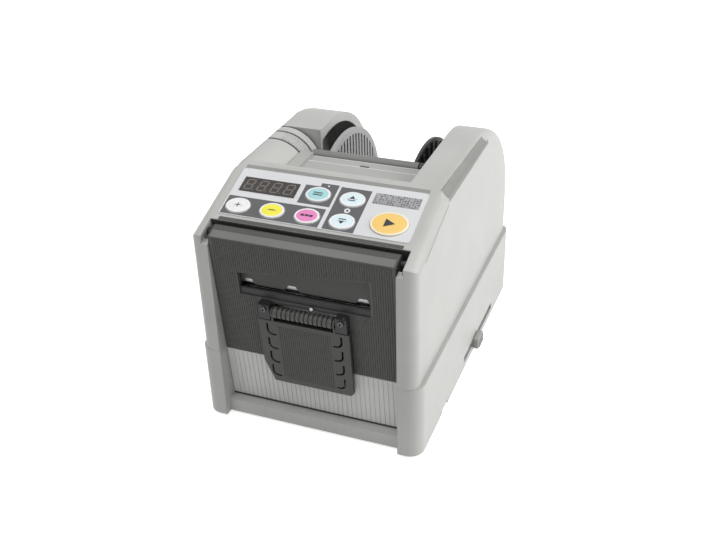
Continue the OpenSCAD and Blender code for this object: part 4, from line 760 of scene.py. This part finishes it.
# Painted highlights along the edges of the top plate's steps
plateTrim = {"x": (-32.6, 42.4), "width": 0.7, "lap": 0.03, "proud": 0.06, "sunk": 0.2,
             "steps": ((-26.6, 138.0), (-14.0, 137.2), (-5.0, 136.4))}
mesh = bmesh.new()
left, right = plateTrim["x"]
for y, z in plateTrim["steps"]:
    addBox(mesh, (left, y - plateTrim["width"], z - plateTrim["sunk"]),
           (right, y + plateTrim["lap"], z + plateTrim["proud"]))
finishPiece("plateTrim", mesh, onPart, "case", [stepHighlightFinish])
print("strips and shades made")

# Radial ribs on the outer face of the right reel disc
discRibs = {"y": 34.0, "z": 73.75, "x": (29.4, 30.3), "from": 40.0, "to": 60.0, "width": 1.4, "rounded": 0.2,
            "count": 36}
mesh = bmesh.new()
for i in range(discRibs["count"]):
    before = set(mesh.verts)
    addBox(mesh, (discRibs["x"][0], discRibs["from"], -discRibs["width"] / 2),
           (discRibs["x"][1], discRibs["to"], discRibs["width"] / 2), discRibs["rounded"])
    bmesh.ops.rotate(mesh, verts=newCorners(mesh, before), cent=(0, 0, 0),
                     matrix=Matrix.Rotation(2 * math.pi * i / discRibs["count"], 3, "X"))
finishPiece("discRibs", mesh, Matrix.Translation((0, discRibs["y"], discRibs["z"])), "reel",
            [blackFinish])

# Painted highlight: a lighter band along the sloped top of the front cover
coverHighlightBand = {"strip": (-54.6, 0.8, 54.6, 6.4), "n": (-0.1, 0.1)}
mesh = bmesh.new()
addSheet(mesh, [rectangle(*coverHighlightBand["strip"])], *coverHighlightBand["n"])
finishPiece("coverHighlightBand", mesh, onPanel, "cover", [coverHighlightFinish])

# Slider: a ridged knob outside, a neck through the slot and a flange inside
sliderKnob = {"knob": ((70.15, 9.05, 2.55), (74.3, 20.95, 10.45)), "knobRounded": 0.9, "knobSegments": 3,
              "ridges": 5, "ridgePitch": 2.0, "ridge": 0.9, "ridgeX": (73.8, 74.95), "ridgeZ": (3.4, 9.6),
              "middle": 15, "neck": ((67.2, 9.05, 4.2), (70.3, 20.95, 8.8)),
              "flange": ((64.4, 3.05, 2.7), (67.3, 26.95, 11.95)), "rounded": 0.3}
mesh = bmesh.new()
addBox(mesh, *sliderKnob["knob"], sliderKnob["knobRounded"], sliderKnob["knobSegments"])
near, far = sliderKnob["ridgeX"]
low, high = sliderKnob["ridgeZ"]
for i in range(sliderKnob["ridges"]):
    y = sliderKnob["middle"] + (i - (sliderKnob["ridges"] - 1) / 2) * sliderKnob["ridgePitch"]
    addBox(mesh, (near, y - sliderKnob["ridge"] / 2, low), (far, y + sliderKnob["ridge"] / 2, high),
           sliderKnob["rounded"])
addBox(mesh, *sliderKnob["neck"])
addBox(mesh, *sliderKnob["flange"], sliderKnob["rounded"])
finishPiece("sliderKnob", mesh, onPart, "slider", [sliderFinish], ("side_slider",))

# Cross-recess screws that hold the roller bracket; brow gives the head's rounding as inset and drop
trayScrews = {"x": 23.7, "v": exitHeight + 2.7, "head": 1.95, "face": -5.0, "top": -6.25, "cross": (1.2, 0.26),
              "recess": 0.7, "brow": ((0.5, 0.0), (0.15, 0.2), (0.0, 0.6)), "shank": 0.95, "tip": 2.95,
              "steps": 48, "weld": 0.002}
mesh = bmesh.new()
rim, shank = trayScrews["head"], trayScrews["shank"]
depth, tip = trayScrews["face"] - trayScrews["top"], trayScrews["face"] - trayScrews["tip"]
outline = [(rim - inset, 0, depth - drop) for inset, drop in trayScrews["brow"]]
outline += [(rim, 0, 0), (shank, 0, 0), (shank, 0, tip), (0, 0, tip)]
for side in (-1, 1):
    before = set(mesh.verts)
    addSheet(mesh, [circle(rim - trayScrews["brow"][0][0]), crossOutline(*trayScrews["cross"])],
             depth - trayScrews["recess"], depth)
    addTurned(mesh, outline, (0, 0, 0), (0, 0, 1), trayScrews["steps"])
    place = Matrix.Translation((side * trayScrews["x"], trayScrews["face"], trayScrews["v"]))
    bmesh.ops.transform(mesh, verts=newCorners(mesh, before), matrix=place @ standUp)
bmesh.ops.remove_doubles(mesh, verts=mesh.verts[:], dist=trayScrews["weld"])
finishPiece("trayScrewHeads", mesh, onCover, "cover", [screwDark], ("tray_screws",))

# On and off signs on the rear rocker: a bar on its upper half and a ring on its lower half
rockerSigns = {"at": (55, 102, 24), "tilt": math.radians(-7), "slope": math.atan2(1.2, 7.2), "middle": 3.4,
               "bar": rectangle(-0.3, 2.0, 0.3, 5.2), "ring": [circle(1.5, 0, 3.6, 28), circle(1.0, 0, 3.6, 24)],
               "low": -0.1, "high": 0.06}
mesh = bmesh.new()
for side, loops in ((1, [rockerSigns["bar"]]), (-1, rockerSigns["ring"])):
    before = set(mesh.verts)
    addSheet(mesh, loops, rockerSigns["low"], rockerSigns["high"])
    turn = Matrix.Rotation(math.radians(-90), 4, "X") @ Matrix.Diagonal((1, -side, 1, 1))
    lean = Matrix.Rotation(-side * rockerSigns["slope"], 4, "X")
    bmesh.ops.transform(mesh, verts=newCorners(mesh, before),
                        matrix=Matrix.Translation((0, rockerSigns["middle"], 0)) @ lean @ turn)
onRocker = Matrix.Translation(rockerSigns["at"]) @ Matrix.Rotation(rockerSigns["tilt"], 4, "X")
finishPiece("rockerSigns", mesh, onRocker, "rocker", [whitePrint])
print("small pieces made")

# Floor and background: the camera sees them near white, and the floor keeps the object's shadow
stage = {"floor": -2.0, "half": 4000.0, "pale": (0.74, 0.74, 0.74, 1.0), "glow": 0.74, "ambient": 0.37,
         "background": 1.0, "white": (1.0, 1.0, 1.0, 1.0)}


def emptyTree(owner):
    owner.use_nodes = True
    owner.node_tree.nodes.clear()
    return owner.node_tree


def cameraShare(tree):
    rays = put(tree, "ShaderNodeLightPath").outputs
    both = calculate(tree, "MAXIMUM", rays["Is Camera Ray"], rays["Is Glossy Ray"])
    return calculate(tree, "MAXIMUM", both, rays["Is Transmission Ray"])


mesh = bmesh.new()
bmesh.ops.create_grid(mesh, x_segments=1, y_segments=1, size=stage["half"] * mm)
bmesh.ops.translate(mesh, verts=mesh.verts[:], vec=(0, 0, stage["floor"] * mm))
floorData = bpy.data.meshes.new("floor")
mesh.to_mesh(floorData)
mesh.free()
floor = bpy.data.objects.new("floor", floorData)
scene.collection.objects.link(floor)
floorFinish = bpy.data.materials.new("paleFloor")
tree = emptyTree(floorFinish)
paper = put(tree, "ShaderNodeBsdfDiffuse", {"Color": stage["pale"]})
glow = put(tree, "ShaderNodeEmission", links={"Strength": multiply(tree, cameraShare(tree), stage["glow"])})
both = put(tree, "ShaderNodeAddShader", links={0: paper.outputs[0], 1: glow.outputs[0]})
put(tree, "ShaderNodeOutputMaterial", links={"Surface": both.outputs[0]})
floorData.materials.append(floorFinish)

scene.world = bpy.data.worlds.new("studio")
tree = emptyTree(scene.world)
seen = put(tree, "ShaderNodeBackground", {"Color": stage["white"], "Strength": stage["background"]})
ambient = put(tree, "ShaderNodeBackground", {"Color": stage["white"], "Strength": stage["ambient"]})
mixed = put(tree, "ShaderNodeMixShader", links={0: cameraShare(tree), 1: ambient.outputs[0], 2: seen.outputs[0]})
put(tree, "ShaderNodeOutputWorld", links={"Surface": mixed.outputs[0]})


def outward(azimuth, elevation):
    turn, lift = math.radians(azimuth), math.radians(elevation)
    return Vector((math.sin(turn) * math.cos(lift), -math.cos(turn) * math.cos(lift), math.sin(lift)))


# Soft boxes round the object, by direction, distance and size in metres and share of the written colour
softBoxes = {
    "keyBox": {"azimuth": 101, "elevation": 22, "far": 1.25, "size": 0.9, "share": 0.69},
    "fillBox": {"azimuth": -16, "elevation": 74, "far": 1.25, "size": 1.1, "share": 0.55},
}
boxAim = Vector((0, 0, 0.07))
for name, box in softBoxes.items():
    away = outward(box["azimuth"], box["elevation"])
    lamp = bpy.data.lights.new(name, "AREA")
    lamp.shape = "SQUARE"
    lamp.size = box["size"]
    lamp.energy = math.pi ** 2 * box["far"] ** 2 * box["share"]
    holder = bpy.data.objects.new(name, lamp)
    holder.location = boxAim + away * box["far"]
    holder.rotation_mode = "QUATERNION"
    holder.rotation_quaternion = away.to_track_quat("Z", "Y")
    scene.collection.objects.link(holder)

# Camera at the photograph's angle
view = {"at": (201.77, -518.51, 388.20), "azimuth": 21.98, "elevation": 30.82, "roll": -1.82, "lens": 49.17,
        "sensor": 36, "near": 10}
turn, roll = math.radians(view["azimuth"]), math.radians(view["roll"])
back = outward(view["azimuth"], view["elevation"])
right = Vector((math.cos(turn), math.sin(turn), 0))
up = back.cross(right)
across = right * math.cos(roll) + up * math.sin(roll)
upright = up * math.cos(roll) - right * math.sin(roll)
lensData = bpy.data.cameras.new("photoCamera")
lensData.sensor_width = view["sensor"]
lensData.lens = view["lens"]
lensData.clip_start = view["near"] * mm
camera = bpy.data.objects.new("photoCamera", lensData)
pose = Matrix((across, upright, back)).transposed().to_4x4()
pose.translation = Vector(view["at"]) * mm
camera.matrix_world = pose
scene.collection.objects.link(camera)
scene.camera = camera
scene.view_settings.view_transform = "Standard"
print("stage made")
